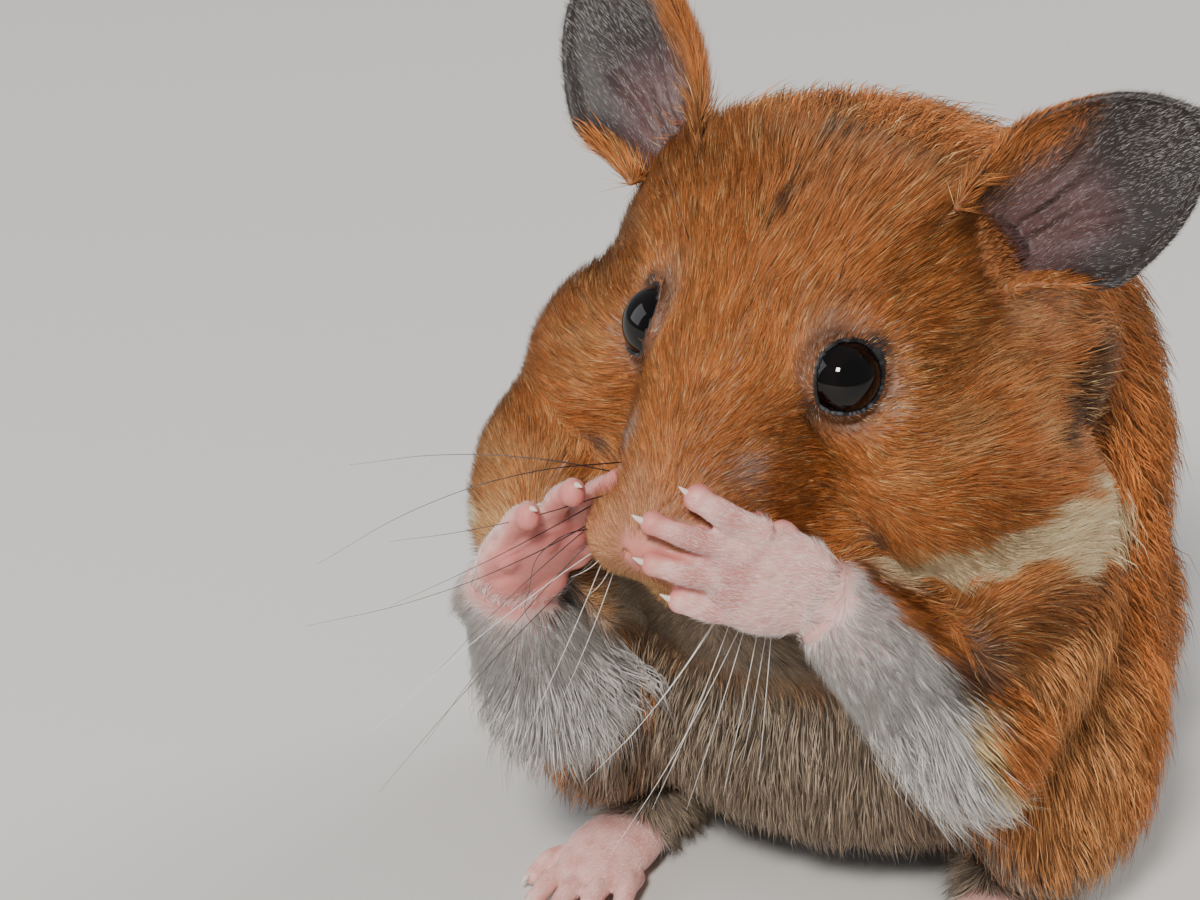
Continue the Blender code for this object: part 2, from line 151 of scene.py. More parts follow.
def ball(centre, radii, place=Matrix.Identity(4), turn=0.0):
    """Ellipsoid of flesh, its centre and radii in mm in the given frame."""
    bpy.ops.mesh.primitive_uv_sphere_add(segments=32, ring_count=20, radius=1.0)
    obj = bpy.context.object
    size = Matrix.Diagonal((*[r * MM for r in radii], 1.0))
    place = place @ Matrix.Translation(Vector(centre) * MM) @ Matrix.Rotation(math.radians(turn), 4, "Z")
    obj.data.transform(place @ size)
    if place.determinant() < 0:
        obj.data.flip_normals()
    return obj


def tapered(points, radii, place=Matrix.Identity(4), roundness=4, name="rod"):
    """Closed round tube along a smooth curve through points (mm), with a radius (mm) at each."""
    line = bpy.data.curves.new(name, "CURVE")
    line.dimensions = "3D"
    line.bevel_depth = MM
    line.bevel_resolution = roundness
    line.use_fill_caps = True
    line.resolution_u = 8
    spline = line.splines.new("BEZIER")
    spline.bezier_points.add(len(points) - 1)
    for knot, point, radius in zip(spline.bezier_points, points, radii):
        knot.co = place @ (Vector(point) * MM)
        knot.radius = radius
        knot.handle_left_type = knot.handle_right_type = "AUTO"
    made = bpy.data.objects.new(name, line)
    bpy.context.scene.collection.objects.link(made)
    select(made)
    bpy.ops.object.convert(target="MESH")
    made = bpy.context.object
    merge_doubles(made, 0.002)
    return made


def merge_doubles(obj, distance):
    """Merges points closer than a distance in mm, and turns all faces outwards."""
    select(obj)
    bpy.ops.object.mode_set(mode="EDIT")
    bpy.ops.mesh.select_all(action="SELECT")
    bpy.ops.mesh.remove_doubles(threshold=distance * MM)
    bpy.ops.mesh.normals_make_consistent(inside=False)
    bpy.ops.object.mode_set(mode="OBJECT")


def join(objects, name):
    """Joins objects into the first of them, under this name."""
    select(*objects)
    bpy.ops.object.join()
    objects[0].name = objects[0].data.name = name
    return objects[0]


def finish_with(obj, kind, **settings):
    """Adds a modifier with these settings and applies it."""
    select(obj)
    modifier = obj.modifiers.new(kind.title(), kind)
    for key, value in settings.items():
        setattr(modifier, key, value)
    bpy.ops.object.modifier_apply(modifier=modifier.name)


def points_of(obj):
    """Places of the mesh's points, and their normals, as arrays in mm."""
    count = len(obj.data.vertices)
    places, normals = np.empty(count * 3), np.empty(count * 3)
    obj.data.vertices.foreach_get("co", places)
    obj.data.vertices.foreach_get("normal", normals)
    return places.reshape(-1, 3) / MM, normals.reshape(-1, 3)


def put_points(obj, places):
    """Moves the mesh's points to places in mm."""
    obj.data.vertices.foreach_set("co", (places * MM).ravel())
    obj.data.update()


def rise(value, low, high):
    """0 below low, 1 above high, and a smooth step between; low may be above high."""
    t = np.clip((value - low) / (high - low), 0, 1)
    return t * t * (3 - 2 * t)


def in_frame(places, place):
    """Places (mm) in the axes of a frame."""
    back = np.array(place.inverted())
    return places @ back[:3, :3].T + back[:3, 3] / MM


def mirrored(side):
    """Mirror of X for the right side, and nothing for the left."""
    return Matrix.Diagonal((side, 1.0, 1.0, 1.0))


def eye_frame(side):
    """X out of the eye, Y to its front corner."""
    return HEAD @ mirrored(side) @ axes(EYE_CENTRE, EYE_AXIS, (-0.35, -0.85, -0.45))


def hand_frame(side):
    """X from heel to fingertips, Y to the thumb side, Z out of the palm."""
    heel, fingers, thumb_side = HANDS[side]
    return axes(heel, Vector(fingers) - Vector(heel), thumb_side) @ Matrix.Diagonal((1.0, 1.0, side, 1.0))


def foot_frame(side):
    """X to the animal's left, -Y to the toes, from the floor under the middle of a hind foot."""
    return Matrix.Translation(Vector((15.5 * side, -9.0, 0.0)) * MM) @ Matrix.Rotation(
        math.radians(9 * side), 4, "Z"
    )


def ear_frame(side):
    """X from base to tip of the ear, -Z out of its hollow front."""
    return HEAD @ mirrored(side) @ axes(EAR_BASE, *EAR_AXES[side])


def heading(fan, dip):
    """Direction turned from X by an angle in the palm's plane and one out of it, in degrees."""
    a, b = math.radians(fan), math.radians(dip)
    return Vector((math.cos(a) * math.cos(b), math.sin(a) * math.cos(b), math.sin(b)))


def digit_line(digit):
    """Knuckle, bend and tip of a finger in the hand's axes, and the way its end points."""
    out, across, fan, length, _ = digit
    start = Vector((out, across, 0.0))
    bend = start + heading(fan, 5) * length * 0.55
    forward = heading(fan, 20)
    return start, bend, bend + forward * length * 0.45, forward


def toe_line(i):
    """Start, bend and tip of toe i in the foot's axes, and the way it points."""
    spread = math.radians((i - 2) * 9)
    start = Vector(((i - 2) * 1.6, -9.6 + 0.35 * (i - 2) ** 2, 1.5))
    forward = Vector((math.sin(spread), -math.cos(spread), 0.0))
    bend = start + forward * TOE_LENGTHS[i] * 0.55 + Vector((0, 0, 0.35))
    return start, bend, start + forward * TOE_LENGTHS[i] - Vector((0, 0, 0.45)), forward


def segment(places, start, end):
    """Distance of places from a line, and how far along it they lie, 0 to 1."""
    start, way = np.array(start), np.array(end) - np.array(start)
    along = np.clip(((places - start) @ way) / (way @ way), 0, 1)
    return np.linalg.norm(places - start - along[:, None] * way, axis=1), along


def on_forearm(places, side):
    """1 on a forearm and 0 off it, and how far along it from elbow to wrist places lie, 0 to 1."""
    off, along = segment(places, *ARMS[side])
    return rise(off - np.interp(along, (0, 0.55, 1), FOREARM_RADII), 1.0, 0.1), along


def head_share(places):
    """1 on the head and 0 on the body and forearms."""
    across, behind, height = in_frame(places, HEAD).T
    off = np.sqrt((across / 27) ** 2 + ((behind - 17) / 24) ** 2 + ((height - 1) / 20) ** 2)
    share = rise(off, 1.22, 0.98)
    for _, side in SIDES:
        share = share * (1 - on_forearm(places, side)[0])
    return share


def own_half(head):
    """Places in the head's axes, those of its right half brought over to the left."""
    return np.abs(head) * (1, 0, 0) + head * (0, 1, 1)


def from_eyes(places):
    """Distance from the middle of the nearer eyeball."""
    return np.linalg.norm(own_half(in_frame(places, HEAD)) - np.array(EYE_CENTRE), axis=1)


def on_tail(places):
    """1 on the tail and 0 off it."""
    off, _ = segment(places, (0, 25.0, 6.2), (0.3, 34.6, 3.0))
    return rise(off, 4.4, 3.2) * rise(places[:, 1], 25.5, 28.0)


# behind the nose, and how deep the coat lies there over the skin
FACE_DEPTH = ((0, 3, 8, 16, 26, 38), (0.0, 0.1, 0.3, 0.7, 1.2, 1.8))
BODY_DEPTH, ELBOW_DEPTH, WRIST_DEPTH, TAIL_DEPTH = 2.9, 1.7, 0.2, 0.25


def coat_depth(places):
    """How deep the coat lies over the skin: none on the nose, and thin round the eyes and on the crown."""
    _, behind, height = in_frame(places, HEAD).T
    on_head = head_share(places)
    face = np.interp(behind, *FACE_DEPTH)
    face = face * (0.3 + 0.7 * rise(from_eyes(places), 3.6, 7.0)) * (1 - 0.6 * rise(height, 7, 14))
    depth = on_head * face + (1 - on_head) * BODY_DEPTH
    for _, side in SIDES:
        arm, along = on_forearm(places, side)
        depth += (ELBOW_DEPTH - (ELBOW_DEPTH - WRIST_DEPTH) * along - depth) * arm
    return depth * (1 - on_tail(places)) + TAIL_DEPTH * on_tail(places)


HAND_WITHIN = 0.0004  # metres from the hand's own forms
hand_surface = {}


def remember_surface(forms, side):
    """Keeps what the hand's forms cover, to tell the hand from the muzzle that it touches."""
    graph = bpy.context.evaluated_depsgraph_get()
    hand_surface[side] = [bvhtree.BVHTree.FromObject(form, graph) for form in forms]


def on_hand(places, side):
    """1 on a hand and its digits, 0 elsewhere, with a soft step at the wrist."""
    x, y, z = in_frame(places, hand_frame(side)).T
    share = rise(x, 0.0, 2.4) * (x < 20) * (np.abs(y) < 7.5) * (np.abs(z) < 5)
    for i in np.nonzero(share > 0)[0]:
        place = Vector(places[i]) * MM
        if all(form.find_nearest(place, HAND_WITHIN)[0] is None for form in hand_surface[side]):
            share[i] = 0
    return share


def paw_flesh(side):
    """Palm, pads, thumb stub and four digits of a hand."""
    place = hand_frame(side)
    forms = [
        ball((0.6, -1.0, 0.0), (3.9, 3.2, 2.8), place),
        ball((6.0, -0.6, 0.0), (5.4, 4.3, 2.1), place),
        ball((3.6, -1.9, 1.3), (1.9, 1.5, 1.2), place),
        ball((3.6, 1.5, 1.3), (1.8, 1.4, 1.2), place),
        ball((6.2, 3.1, 0.8), (1.5, 0.9, 0.85), place, turn=25),
    ]
    for digit in DIGITS:
        start, bend, tip, forward = digit_line(digit)
        radius = digit[4]
        forms.append(ball((digit[0] - 0.6, digit[1] * 0.92, 1.2), (1.2, 1.0, 0.9), place))
        waist = start * 0.5 + bend * 0.5
        forms.append(tapered((start, waist, bend, tip), [radius * k for k in (1, 0.88, 0.93, 0.78)], place))
        forms.append(ball(start, (radius,) * 3, place))
        forms.append(ball(tip - forward * 0.1, (radius * 0.86,) * 3, place))
        forms.append(ball(tip + Vector((-0.3, 0, 0.25)), (radius * 0.85,) * 3, place))
    remember_surface(forms, side)
    return forms


def foot_flesh(side):
    """Sole, instep and five toes of a hind foot."""
    place = foot_frame(side)
    forms = [ball((0, 2.0, 2.6), (3.3, 6.0, 2.6), place), ball((0, -6.0, 2.1), (3.7, 6.6, 2.1), place)]
    for i in range(len(TOE_LENGTHS)):
        start, bend, tip, _ = toe_line(i)
        forms.append(tapered((start, bend, tip), (1.1, 0.95, 0.8), place))
        forms += [ball(start, (1.1,) * 3, place), ball(tip, (0.86, 0.86, 0.82), place)]
    return forms


def ear_flesh(side):
    """Rounded leaf of a grid, cupped to its front and given its thickness by Solidify."""
    bpy.ops.mesh.primitive_grid_add(x_subdivisions=56, y_subdivisions=48, size=2.0)
    ear = bpy.context.object
    grid, _ = points_of(ear)
    grid = grid * MM
    u, v = np.sin(np.pi / 4 * (grid[:, 0] + 1)), grid[:, 1]
    round_off = np.sqrt(np.clip(1 - np.clip((u - 0.3) / 0.7, 0, 1) ** 2.3, 0, 1))
    half = EAR_HALF_WIDTH * (0.62 + 0.38 * np.sin(np.pi * np.minimum(u / 0.9, 0.5))) * round_off
    half = np.maximum(half, 0.9 * (1.6 - u)) * (1 - 0.32 * rise(v, 0.2, 1.0) * rise(u, 0.4, 0.05))
    cup = 4.2 * (1 - 0.45 * u) * v * v * np.maximum(round_off, 0.2) - 1.1 * np.sin(np.pi * u)
    rim = 0.5 * rise(np.abs(v), 0.86, 1.0) * round_off
    length = u * EAR_LENGTH - 2.3 * (1 - u) - 0.9 * v * v * u
    put_points(ear, np.stack([length, v * half, 1.4 * u * u - cup - rim], 1))
    ear.data.transform(ear_frame(side))
    merge_doubles(ear, 0.01)
    finish_with(ear, "SOLIDIFY", thickness=EAR_THICKNESS * MM, offset=0.0)
    merge_doubles(ear, 0.002)
    return ear


def press(places, normals, place, line, width, depth):
    """Presses a groove into the skin along a line in a frame; a negative depth raises a ridge."""
    here = in_frame(places, place)
    off = np.full(len(places), 1e9)
    for start, end in zip(line[:-1], line[1:]):
        off = np.minimum(off, segment(here, start, end)[0])
    near = off < width * 3
    places[near] -= normals[near] * (depth * np.exp(-((off[near] / width) ** 2)))[:, None]


def lid_edge(around):
    """Half angle of the lids' opening, in degrees, which is drawn out at the front corner."""
    back = np.abs(around) - np.pi
    return LID_HALF_ANGLE + 11 * np.exp(-((around / 0.42) ** 2)) + 4 * np.exp(-((back / 0.5) ** 2))


def beyond_lids(places):
    """Degrees by which places on the bulge of an eye lie outside the edge of its lids; 90 elsewhere."""
    beyond = np.full(len(places), 90.0)
    for _, side in SIDES:
        x, y, z = in_frame(places, eye_frame(side)).T
        off = np.sqrt(x * x + y * y + z * z)
        angle = np.degrees(np.arccos(np.clip(x / np.maximum(off, 1e-6), -1, 1)))
        near = off < EYE_RADIUS + 1.8
        beyond[near] = (angle - lid_edge(np.arctan2(z, y)))[near]
    return beyond


EYES = ("eye_left", "eye_right")
# lines pressed into each half of the face, with their width and depth: nostril, its rim, corner of the mouth
FACE_GROOVES = (
    (((0.75, -0.7, 0.5), (1.25, 0.1, 0.15)), 0.34, 0.5),
    (((0.9, -0.3, 1.5), (1.5, 0.9, 0.9), (1.5, 1.6, 0.0)), 0.3, -0.12),
    (((0.2, 3.0, -4.2), (1.8, 4.4, -4.9), (3.2, 6.6, -5.6)), 0.35, 0.5),
)
LIP_CLEFT = (((0, -1.0, 0.2), (0, 0.6, -1.6), (0, 2.8, -3.9)), 0.24, 0.35)
# place across the ear, reach and height of the folds that run up its hollow
EAR_FOLDS = ((-3.4, 7.5, 0.7), (-1.5, 8.6, 0.95), (0.4, 8.0, 0.85), (2.4, 6.5, 0.7))
EAR_FOLD_WIDTH = 0.55
CREASE_WIDTH, CREASE_DEPTH, PAD_CREASE_WIDTH, PAD_CREASE_DEPTH = 0.36, 0.09, 0.3, 0.1
JOINED_OVER, SOCKET_GAP = 0.24, 0.6  # closes the gaps between the solids; room behind the eyeball
flesh = [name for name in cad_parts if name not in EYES]
made_fine = ("hand_left", "hand_right", "hind_foot_left", "hind_foot_right", "ear_left", "ear_right")
copies = []
for name in flesh:
    if name not in made_fine:
        copy = bpy.data.objects.new(name + "_copy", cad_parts[name].data.copy())
        bpy.context.scene.collection.objects.link(copy)
        merge_doubles(copy, 0.001)
        copies.append(copy)
skin = join(copies, "skin")
finish_with(skin, "DISPLACE", strength=JOINED_OVER * MM, mid_level=0.0)
finish_with(skin, "REMESH", mode="VOXEL", voxel_size=BODY_VOXEL * MM)
places, normals = points_of(skin)
# the muzzle is smoothed less than the rest, in ten steps
group = skin.vertex_groups.new(name="furred")
steady = 0.35 + 0.65 * rise(in_frame(places, HEAD)[:, 1], 2.0, 16.0)
for step in range(11):
    chosen = np.nonzero(np.round(steady * 10) == step)[0]
    group.add(chosen.tolist(), step / 10, "REPLACE")
finish_with(skin, "SMOOTH", factor=0.5, iterations=BODY_SMOOTHING, vertex_group="furred")
places, normals = points_of(skin)
put_points(skin, places - normals * coat_depth(places)[:, None])
skin.vertex_groups.clear()

forms = [skin]
for _, side in SIDES:
    forms += paw_flesh(side) + foot_flesh(side) + [ear_flesh(side)]
    forms.append(ball((0, 0, 0), (EYE_RADIUS + LID_THICKNESS,) * 3, eye_frame(side)))
skin = join(forms, "skin")
finish_with(skin, "REMESH", mode="VOXEL", voxel_size=SKIN_VOXEL * MM)
finish_with(skin, "SMOOTH", factor=0.5, iterations=SKIN_SMOOTHING)

places, normals = points_of(skin)
for _, side in SIDES:
    for groove in FACE_GROOVES:
        press(places, normals, HEAD @ mirrored(side), *groove)
    for across, reach, height in EAR_FOLDS:
        line = ((-1.0, across * 0.8, 0.4), (reach * 0.55, across * 0.9, 0.4), (reach, across * 1.25, 0.2))
        press(places, normals, ear_frame(side), line, EAR_FOLD_WIDTH, -height)
    # creases across each finger, and between the pads
    hand = hand_frame(side)
    for digit in DIGITS:
        start, bend, tip, _ = digit_line(digit)
        for share in (0.25, 0.5, 0.75, 1.0):
            middle = start.lerp(bend, share)
            line = (middle - Vector((0, 1.3, 0)), middle + Vector((0, 1.3, 0)))
            press(places, normals, hand, line, CREASE_WIDTH, CREASE_DEPTH)
        middle = bend.lerp(tip, 0.5)
        line = (middle - Vector((0, 1.2, 0)), middle + Vector((0, 1.2, 0)))
        press(places, normals, hand, line, PAD_CREASE_WIDTH, PAD_CREASE_DEPTH)
press(places, normals, HEAD, *LIP_CLEFT)

for _, side in SIDES:
    # inside the opening of the lids the skin passes behind the eyeball
    eye = eye_frame(side)
    here = in_frame(places, eye)
    off = np.linalg.norm(here, axis=1)
    inside = (off < EYE_RADIUS + 1.5) & (beyond_lids(places) < 0)
    here[inside] *= ((EYE_RADIUS - SOCKET_GAP) / off[inside])[:, None]
    turn = np.array(eye)
    places[inside] = here[inside] @ turn[:3, :3].T + turn[:3, 3] / MM
put_points(skin, places)
places, _ = points_of(skin)
places[:, 2] = np.maximum(places[:, 2], 0.02)
put_points(skin, places)
skin.data.calc_loop_triangles()
finish_with(skin, "DECIMATE", ratio=SKIN_TRIANGLES / len(skin.data.loop_triangles))
skin.data.shade_smooth()
bpy.ops.object.mode_set(mode="EDIT")
bpy.ops.mesh.select_all(action="SELECT")
bpy.ops.uv.smart_project(angle_limit=math.radians(66), island_margin=0.003)
bpy.ops.object.mode_set(mode="OBJECT")
skin.data.uv_layers.active.name = "OFBake"


# The skin's markings: pink paws and nose, dark ears, painted shade between the fingers, a painted glint along
# the lower lids, and under the coat a dim copy of the hair's colour, darkened as painted shade
def dye(red, green, blue):
    """Pigment from its screen values of 0 to 255, as linear light."""
    value = np.array((red, green, blue)) / 255
    return np.where(value <= 0.04045, value / 12.92, ((value + 0.055) / 1.055) ** 2.4)


def blended(under, over, share):
    """One row of colours laid over another by a share for each row, 0 to 1."""
    return under + (over - under) * np.clip(share, 0, 1)[:, None]


def plain(pigment, places):
    """The same pigment at all places."""
    return np.tile(pigment, (len(places), 1))


def ripple(places, size, seed):
    """Soft pattern between about -1 and 1, in patches of about so many mm; each use has its own seed."""
    random = np.random.default_rng(seed)
    total = np.zeros(len(places))
    for _ in range(7):
        way = random.normal(size=3)
        way *= 2 * np.pi / (np.linalg.norm(way) * size * random.uniform(1.0, 2.6))
        total += np.sin(places @ way + random.uniform(0, 2 * np.pi))
    return total / 2.8


def bump_at(places, centre, reach):
    """1 at a centre, falling off smoothly over a reach given for each axis."""
    off = (places - np.array(centre)) / np.array(reach)
    return np.exp(-(off**2).sum(1))


def on_foot(places, side):
    """1 on the bare part of a hind foot, 0 elsewhere."""
    here = in_frame(places, foot_frame(side))
    return rise(here[:, 1], -2.0, -4.0) * (np.abs(here[:, 0]) < 7) * rise(here[:, 2], 5.2, 4.4)


def on_ear(places, side):
    """How surely places are on an ear, 0 to 1, how far up it they lie, and how far across it."""
    here = in_frame(places, ear_frame(side))
    u, v = (here[:, 0] + 1.5) / (EAR_LENGTH + 1.0), here[:, 1] / EAR_HALF_WIDTH
    flat = np.clip(u, 0, 1)
    surface = 1.4 * flat**2 - 4.2 * (1 - 0.45 * flat) * v * v * 0.8 + 1.1 * np.sin(np.pi * flat)
    sure = (u > -0.05) & (u < 1.2) & (np.abs(v) < 0.65 + 4 * u) & (np.abs(v) < 1.15)
    sure &= np.abs(here[:, 2] - surface) < 2.2
    hollow = rise(surface - here[:, 2], 0.0, 0.3)
    return sure * rise(u + 0.12 * rise(v, 0.1, 0.6) + 0.13 * hollow, 0.06, 0.16), u, v


# the coat's pigments, which the skin shows more dimly
GOLDEN, RUFOUS, TAN = dye(230, 141, 74), dye(200, 104, 34), dye(218, 162, 106)
CREAM, PALE_YELLOW, SILVER = dye(244, 214, 172), dye(238, 204, 148), dye(226, 220, 214)
CROWN_BROWN, UMBER, SOOT = dye(146, 98, 56), dye(58, 40, 26), dye(40, 28, 20)
SLATE, BELLY_GREY = dye(92, 84, 84), dye(172, 154, 134)
MUZZLE_PINK, LIP_PALE = dye(232, 172, 136), dye(226, 168, 112)
# and the bare skin's
PINK, FLUSH, WRIST_PINK, NOSE_PINK, LIP_PINK = (
    dye(226, 174, 164), dye(196, 106, 98), dye(206, 166, 160), dye(192, 118, 104), dye(176, 104, 88)
)
EAR_GREY, EAR_MAUVE, EAR_BLACK = dye(38, 31, 30), dye(90, 63, 62), dye(26, 21, 20)
# LID_GLINT is a painted glint of wet light along the lower lid of each eye
LID_BLACK, LID_GLINT = dye(12, 9, 9), dye(112, 112, 120)


def round_trunk(places):
    """Degrees round the body from the middle of the chest."""
    return np.degrees(np.arctan2(np.abs(places[:, 0]), 2.0 - places[:, 1]))


def cheek_band(head, rows, seed, ragged):
    """Share of a band round the cheek, whose rows give degrees round from the nose, height and half width."""
    rows = np.array(rows)
    round_head = np.degrees(np.arctan2(np.abs(head[:, 0]), 20 - head[:, 1]))
    middle = np.interp(round_head, rows[:, 0], rows[:, 1])
    half = np.interp(round_head, rows[:, 0], rows[:, 2])
    off = np.abs(head[:, 2] - middle) / half + ragged * ripple(head, 2.6, seed)
    first, last = rows[0, 0], rows[-1, 0]
    return rise(off, 1.3, 0.75) * rise(round_head, first - 2, first + 2) * rise(round_head, last + 4, last)


STRIPE = (
    (54, -6.2, 0.5), (63, -7.0, 1.0), (72, -6.1, 1.7), (80, -4.9, 1.6),
    (90, -5.6, 2.2), (100, -7.6, 2.6), (113, -10.6, 2.6), (128, -15.0, 2.4),
)
CHEEK_RUST = ((58, -2.6, 1.6), (70, -1.2, 2.2), (80, -0.2, 2.4), (90, -0.6, 2.4), (102, -3.4, 2.0))
# painted shadow in the crease under the cheek stripe, in rows like the stripe's
STRIPE_CREASE_SHADOW = ((58, -8.6, 1.0), (72, -9.6, 1.3), (82, -9.0, 1.6), (94, -11.2, 1.8), (112, -14.6, 1.8))
FLASH = (
    (97, 0.3, 0.6), (107, 0.0, 1.4), (115, -1.8, 2.6), (123, -2.6, 4.2), (133, -3.6, 4.8), (146, -5.0, 4.6),
)
# patches of the face: strength, middle and reach, the paired ones on both halves
CROWN_STREAKS = (
    (1.0, (-0.2, 23.0, 16), (0.9, 2.4, 9)), (1.0, (0.9, 29.5, 17), (1.6, 3.4, 9)),
    (0.9, (-1.9, 35, 17), (1.6, 2.4, 9)), (0.6, (4.7, 39.5, 16), (4.5, 2.6, 9)),
)
BROW_STREAKS = ((0.5, (7.0, 21.5, 11.5), (1.0, 2.4, 4)),)
WHISKER_PADS = ((1.0, (4.7, 7.2, 4.2), (1.4, 2.2, 1.6)), (0.5, (5.4, 6.0, 1.0), (1.4, 2.2, 1.6)))
BROWS = ((1.0, (7.4, 17.0, 11.2), (2.2, 2.6, 1.5)),)
EYE_CORNERS = ((1.0, (6.9, 13.5, 6.1), (0.9, 1.5, 0.9)),)
CHEEK_SPOTS = ((1.0, (11.2, 12.8, -3.9), (1.8, 2.6, 2.0)),)
NOSE_SKIN, LIP_SKIN = ((2.0, (0, 0.1, 0.3), (1.6, 1.7, 1.6)),), ((1.5, (0, 2.4, -2.8), (1.8, 2.2, 1.6)),)
# FOLD_SHADOW_PATCH is a painted shadow, slate-dark, in the fold of each arm
FOLD_SHADOW_PATCH = ((16.9, -27.1, 33.2), (2.6, 3.0, 2.4))  # in the fold of the left arm, or mirrored
# where silver turns to golden at the lower and upper end of each forearm
GOLDEN_EDGES = {1: (0.4, 3.6), -1: (17.0, 20.0)}


def patches(head, rows):
    """Shares of several soft patches, added up."""
    return sum(strength * bump_at(head, centre, reach) for strength, centre, reach in rows)


def streaky(share, chance):
    """A marking's share in each hair: nearly all or none by the hair's own chance, where one is given."""
    return share if chance is None else rise(share, chance - 0.18, chance + 0.18)


def coat_colour(places, chance=None):
    """Colour of the hair's middle length for roots at these places."""
    head = in_frame(places, HEAD)
    across, behind, height = head.T
    mirror = own_half(head)
    on_head = head_share(places)
    colour = plain(GOLDEN, places)
    colour = blended(colour, GOLDEN * 0.68, 0.5 + 0.5 * ripple(places, 5.0, 3))

    # body: brown back, pale chest and belly
    round_body = round_trunk(places)
    colour = blended(colour, CROWN_BROWN * 0.9, 0.85 * rise(round_body, 80, 140) * (1 - on_head))
    shoulder = rise(round_body, 75, 60) * rise(places[:, 2], 44, 38)
    colour = blended(colour, TAN, 0.55 * shoulder)
    edge = np.interp(places[:, 2], (14, 24), (46, 31))
    belly = rise(round_body + 7 * ripple(places, 5.0, 4), edge + 6, edge - 6) * rise(places[:, 2], 46, 40)
    hem = rise(places[:, 2] + 2 * ripple(places, 4.0, 5), 11, 6) * rise(round_body, 130, 100)
    belly = np.maximum(belly, hem)
    colour = blended(colour, BELLY_GREY, streaky(belly * (1 - on_head), chance))

    # head: browner crown, darker still with painted shade where it faces up, paler cheeks, lips and throat,
    # dark streaks over the eyes and along the crown
    face = plain(GOLDEN, places)
    face = blended(face, TAN, 0.6 * rise(mirror[:, 0], 9, 15) * rise(height, 12, 7))
    face = blended(face, RUFOUS, 0.6 * cheek_band(mirror, CHEEK_RUST, 14, 0.3))
    # the crown's brown is partly its own colour and partly painted shade on the top of the head
    face = blended(face, CROWN_BROWN, 0.8 * rise(behind, 19, 32) * rise(height, 9, 15))
    face = blended(face, GOLDEN * 0.78, 0.5 + 0.5 * ripple(places, 2.2, 6))
    smudge = patches(head, CROWN_STREAKS) + patches(mirror, BROW_STREAKS)
    smudge = 0.9 * smudge * (0.75 + 0.4 * ripple(places, 1.6, 7))
    face = blended(face, UMBER, 0.85 * streaky(smudge, chance))
    face = blended(face, BELLY_GREY * 0.75, 0.45 * patches(mirror, BROWS))
    face = blended(face, SLATE * 0.5, 0.5 * rise(from_eyes(places), 4.5, 3.8))
    face = blended(face, SOOT, 0.9 * patches(mirror, EYE_CORNERS))
    throat = rise(height + 1.2 * ripple(places, 3.0, 8), -8.0, -11.0) * rise(np.abs(across), 14, 9)
    face = blended(face, BELLY_GREY, streaky(throat, chance))
    face = blended(face, MUZZLE_PINK, 0.5 * rise(behind + ripple(places, 3.0, 15), 6.5, 1.0))
    lips = rise(behind, 9.0, 5.0) * rise(height + 0.5 * ripple(places, 2.0, 9), -1.0, -2.8)
    face = blended(face, LIP_PALE, streaky(lips, chance))
    face = blended(face, SILVER * 0.7, 0.7 * streaky(0.7 * patches(mirror, WHISKER_PADS), chance))
    face = blended(face, SLATE * 0.7, 0.75 * streaky(0.8 * patches(mirror, CHEEK_SPOTS), chance))
    flash = cheek_band(mirror, FLASH, 11, 0.35)
    face = blended(face, UMBER * 0.9, 0.85 * streaky(0.85 * flash, chance))
    colour = blended(colour, face, on_head)

    # the cream stripe under each cheek, lower on the right, over a painted shadow in the crease below it
    near_cheek = rise(np.linalg.norm((mirror - (18, 22, -6)) / (16, 22, 14), axis=1), 1.2, 0.9)
    # painted shadow: the golden coat darkened in the crease below the stripe
    shade = cheek_band(mirror, STRIPE_CREASE_SHADOW, 16, 0.2) * near_cheek
    colour = blended(colour, GOLDEN * 0.42, 0.75 * shade)
    lowered = mirror + np.where(across < 0, 2.4, 0.0)[:, None] * (0, 0, 1)
    stripe = cheek_band(lowered, STRIPE, 12, 0.4) * near_cheek
    colour = blended(colour, CREAM, 0.92 * streaky(stripe, chance))

    # arms: golden above and outside, silver in front and below, with a slate-dark patch of painted shadow in
    # the fold of each arm
    for _, side in SIDES:
        arm, along = on_forearm(places, side)
        level = places @ (0.8 * side, 1.5, 1.0) + 1.2 * ripple(places, 2.5, 13)
        edge = np.interp(places[:, 2], (27, 31), GOLDEN_EDGES[side])
        golden = streaky(rise(level, edge - 1.2, edge + 1.2), chance)
        fur = blended(plain(SILVER * 0.85, places), GOLDEN * 0.8, golden)
        locks = np.exp(-(((level - edge + 0.4) / 1.5) ** 2)) * rise(along, 0.62, 0.35)
        fur = blended(fur, PALE_YELLOW, streaky(0.75 * locks, chance))
        colour = blended(colour, fur, arm)
        # painted shadow in the arm's fold
        patch = bump_at(places * (side, 1, 1), *FOLD_SHADOW_PATCH)
        colour = blended(colour, SLATE * 0.5, 0.85 * streaky(patch, chance) * rise(patch, 0.1, 0.3))
    return colour


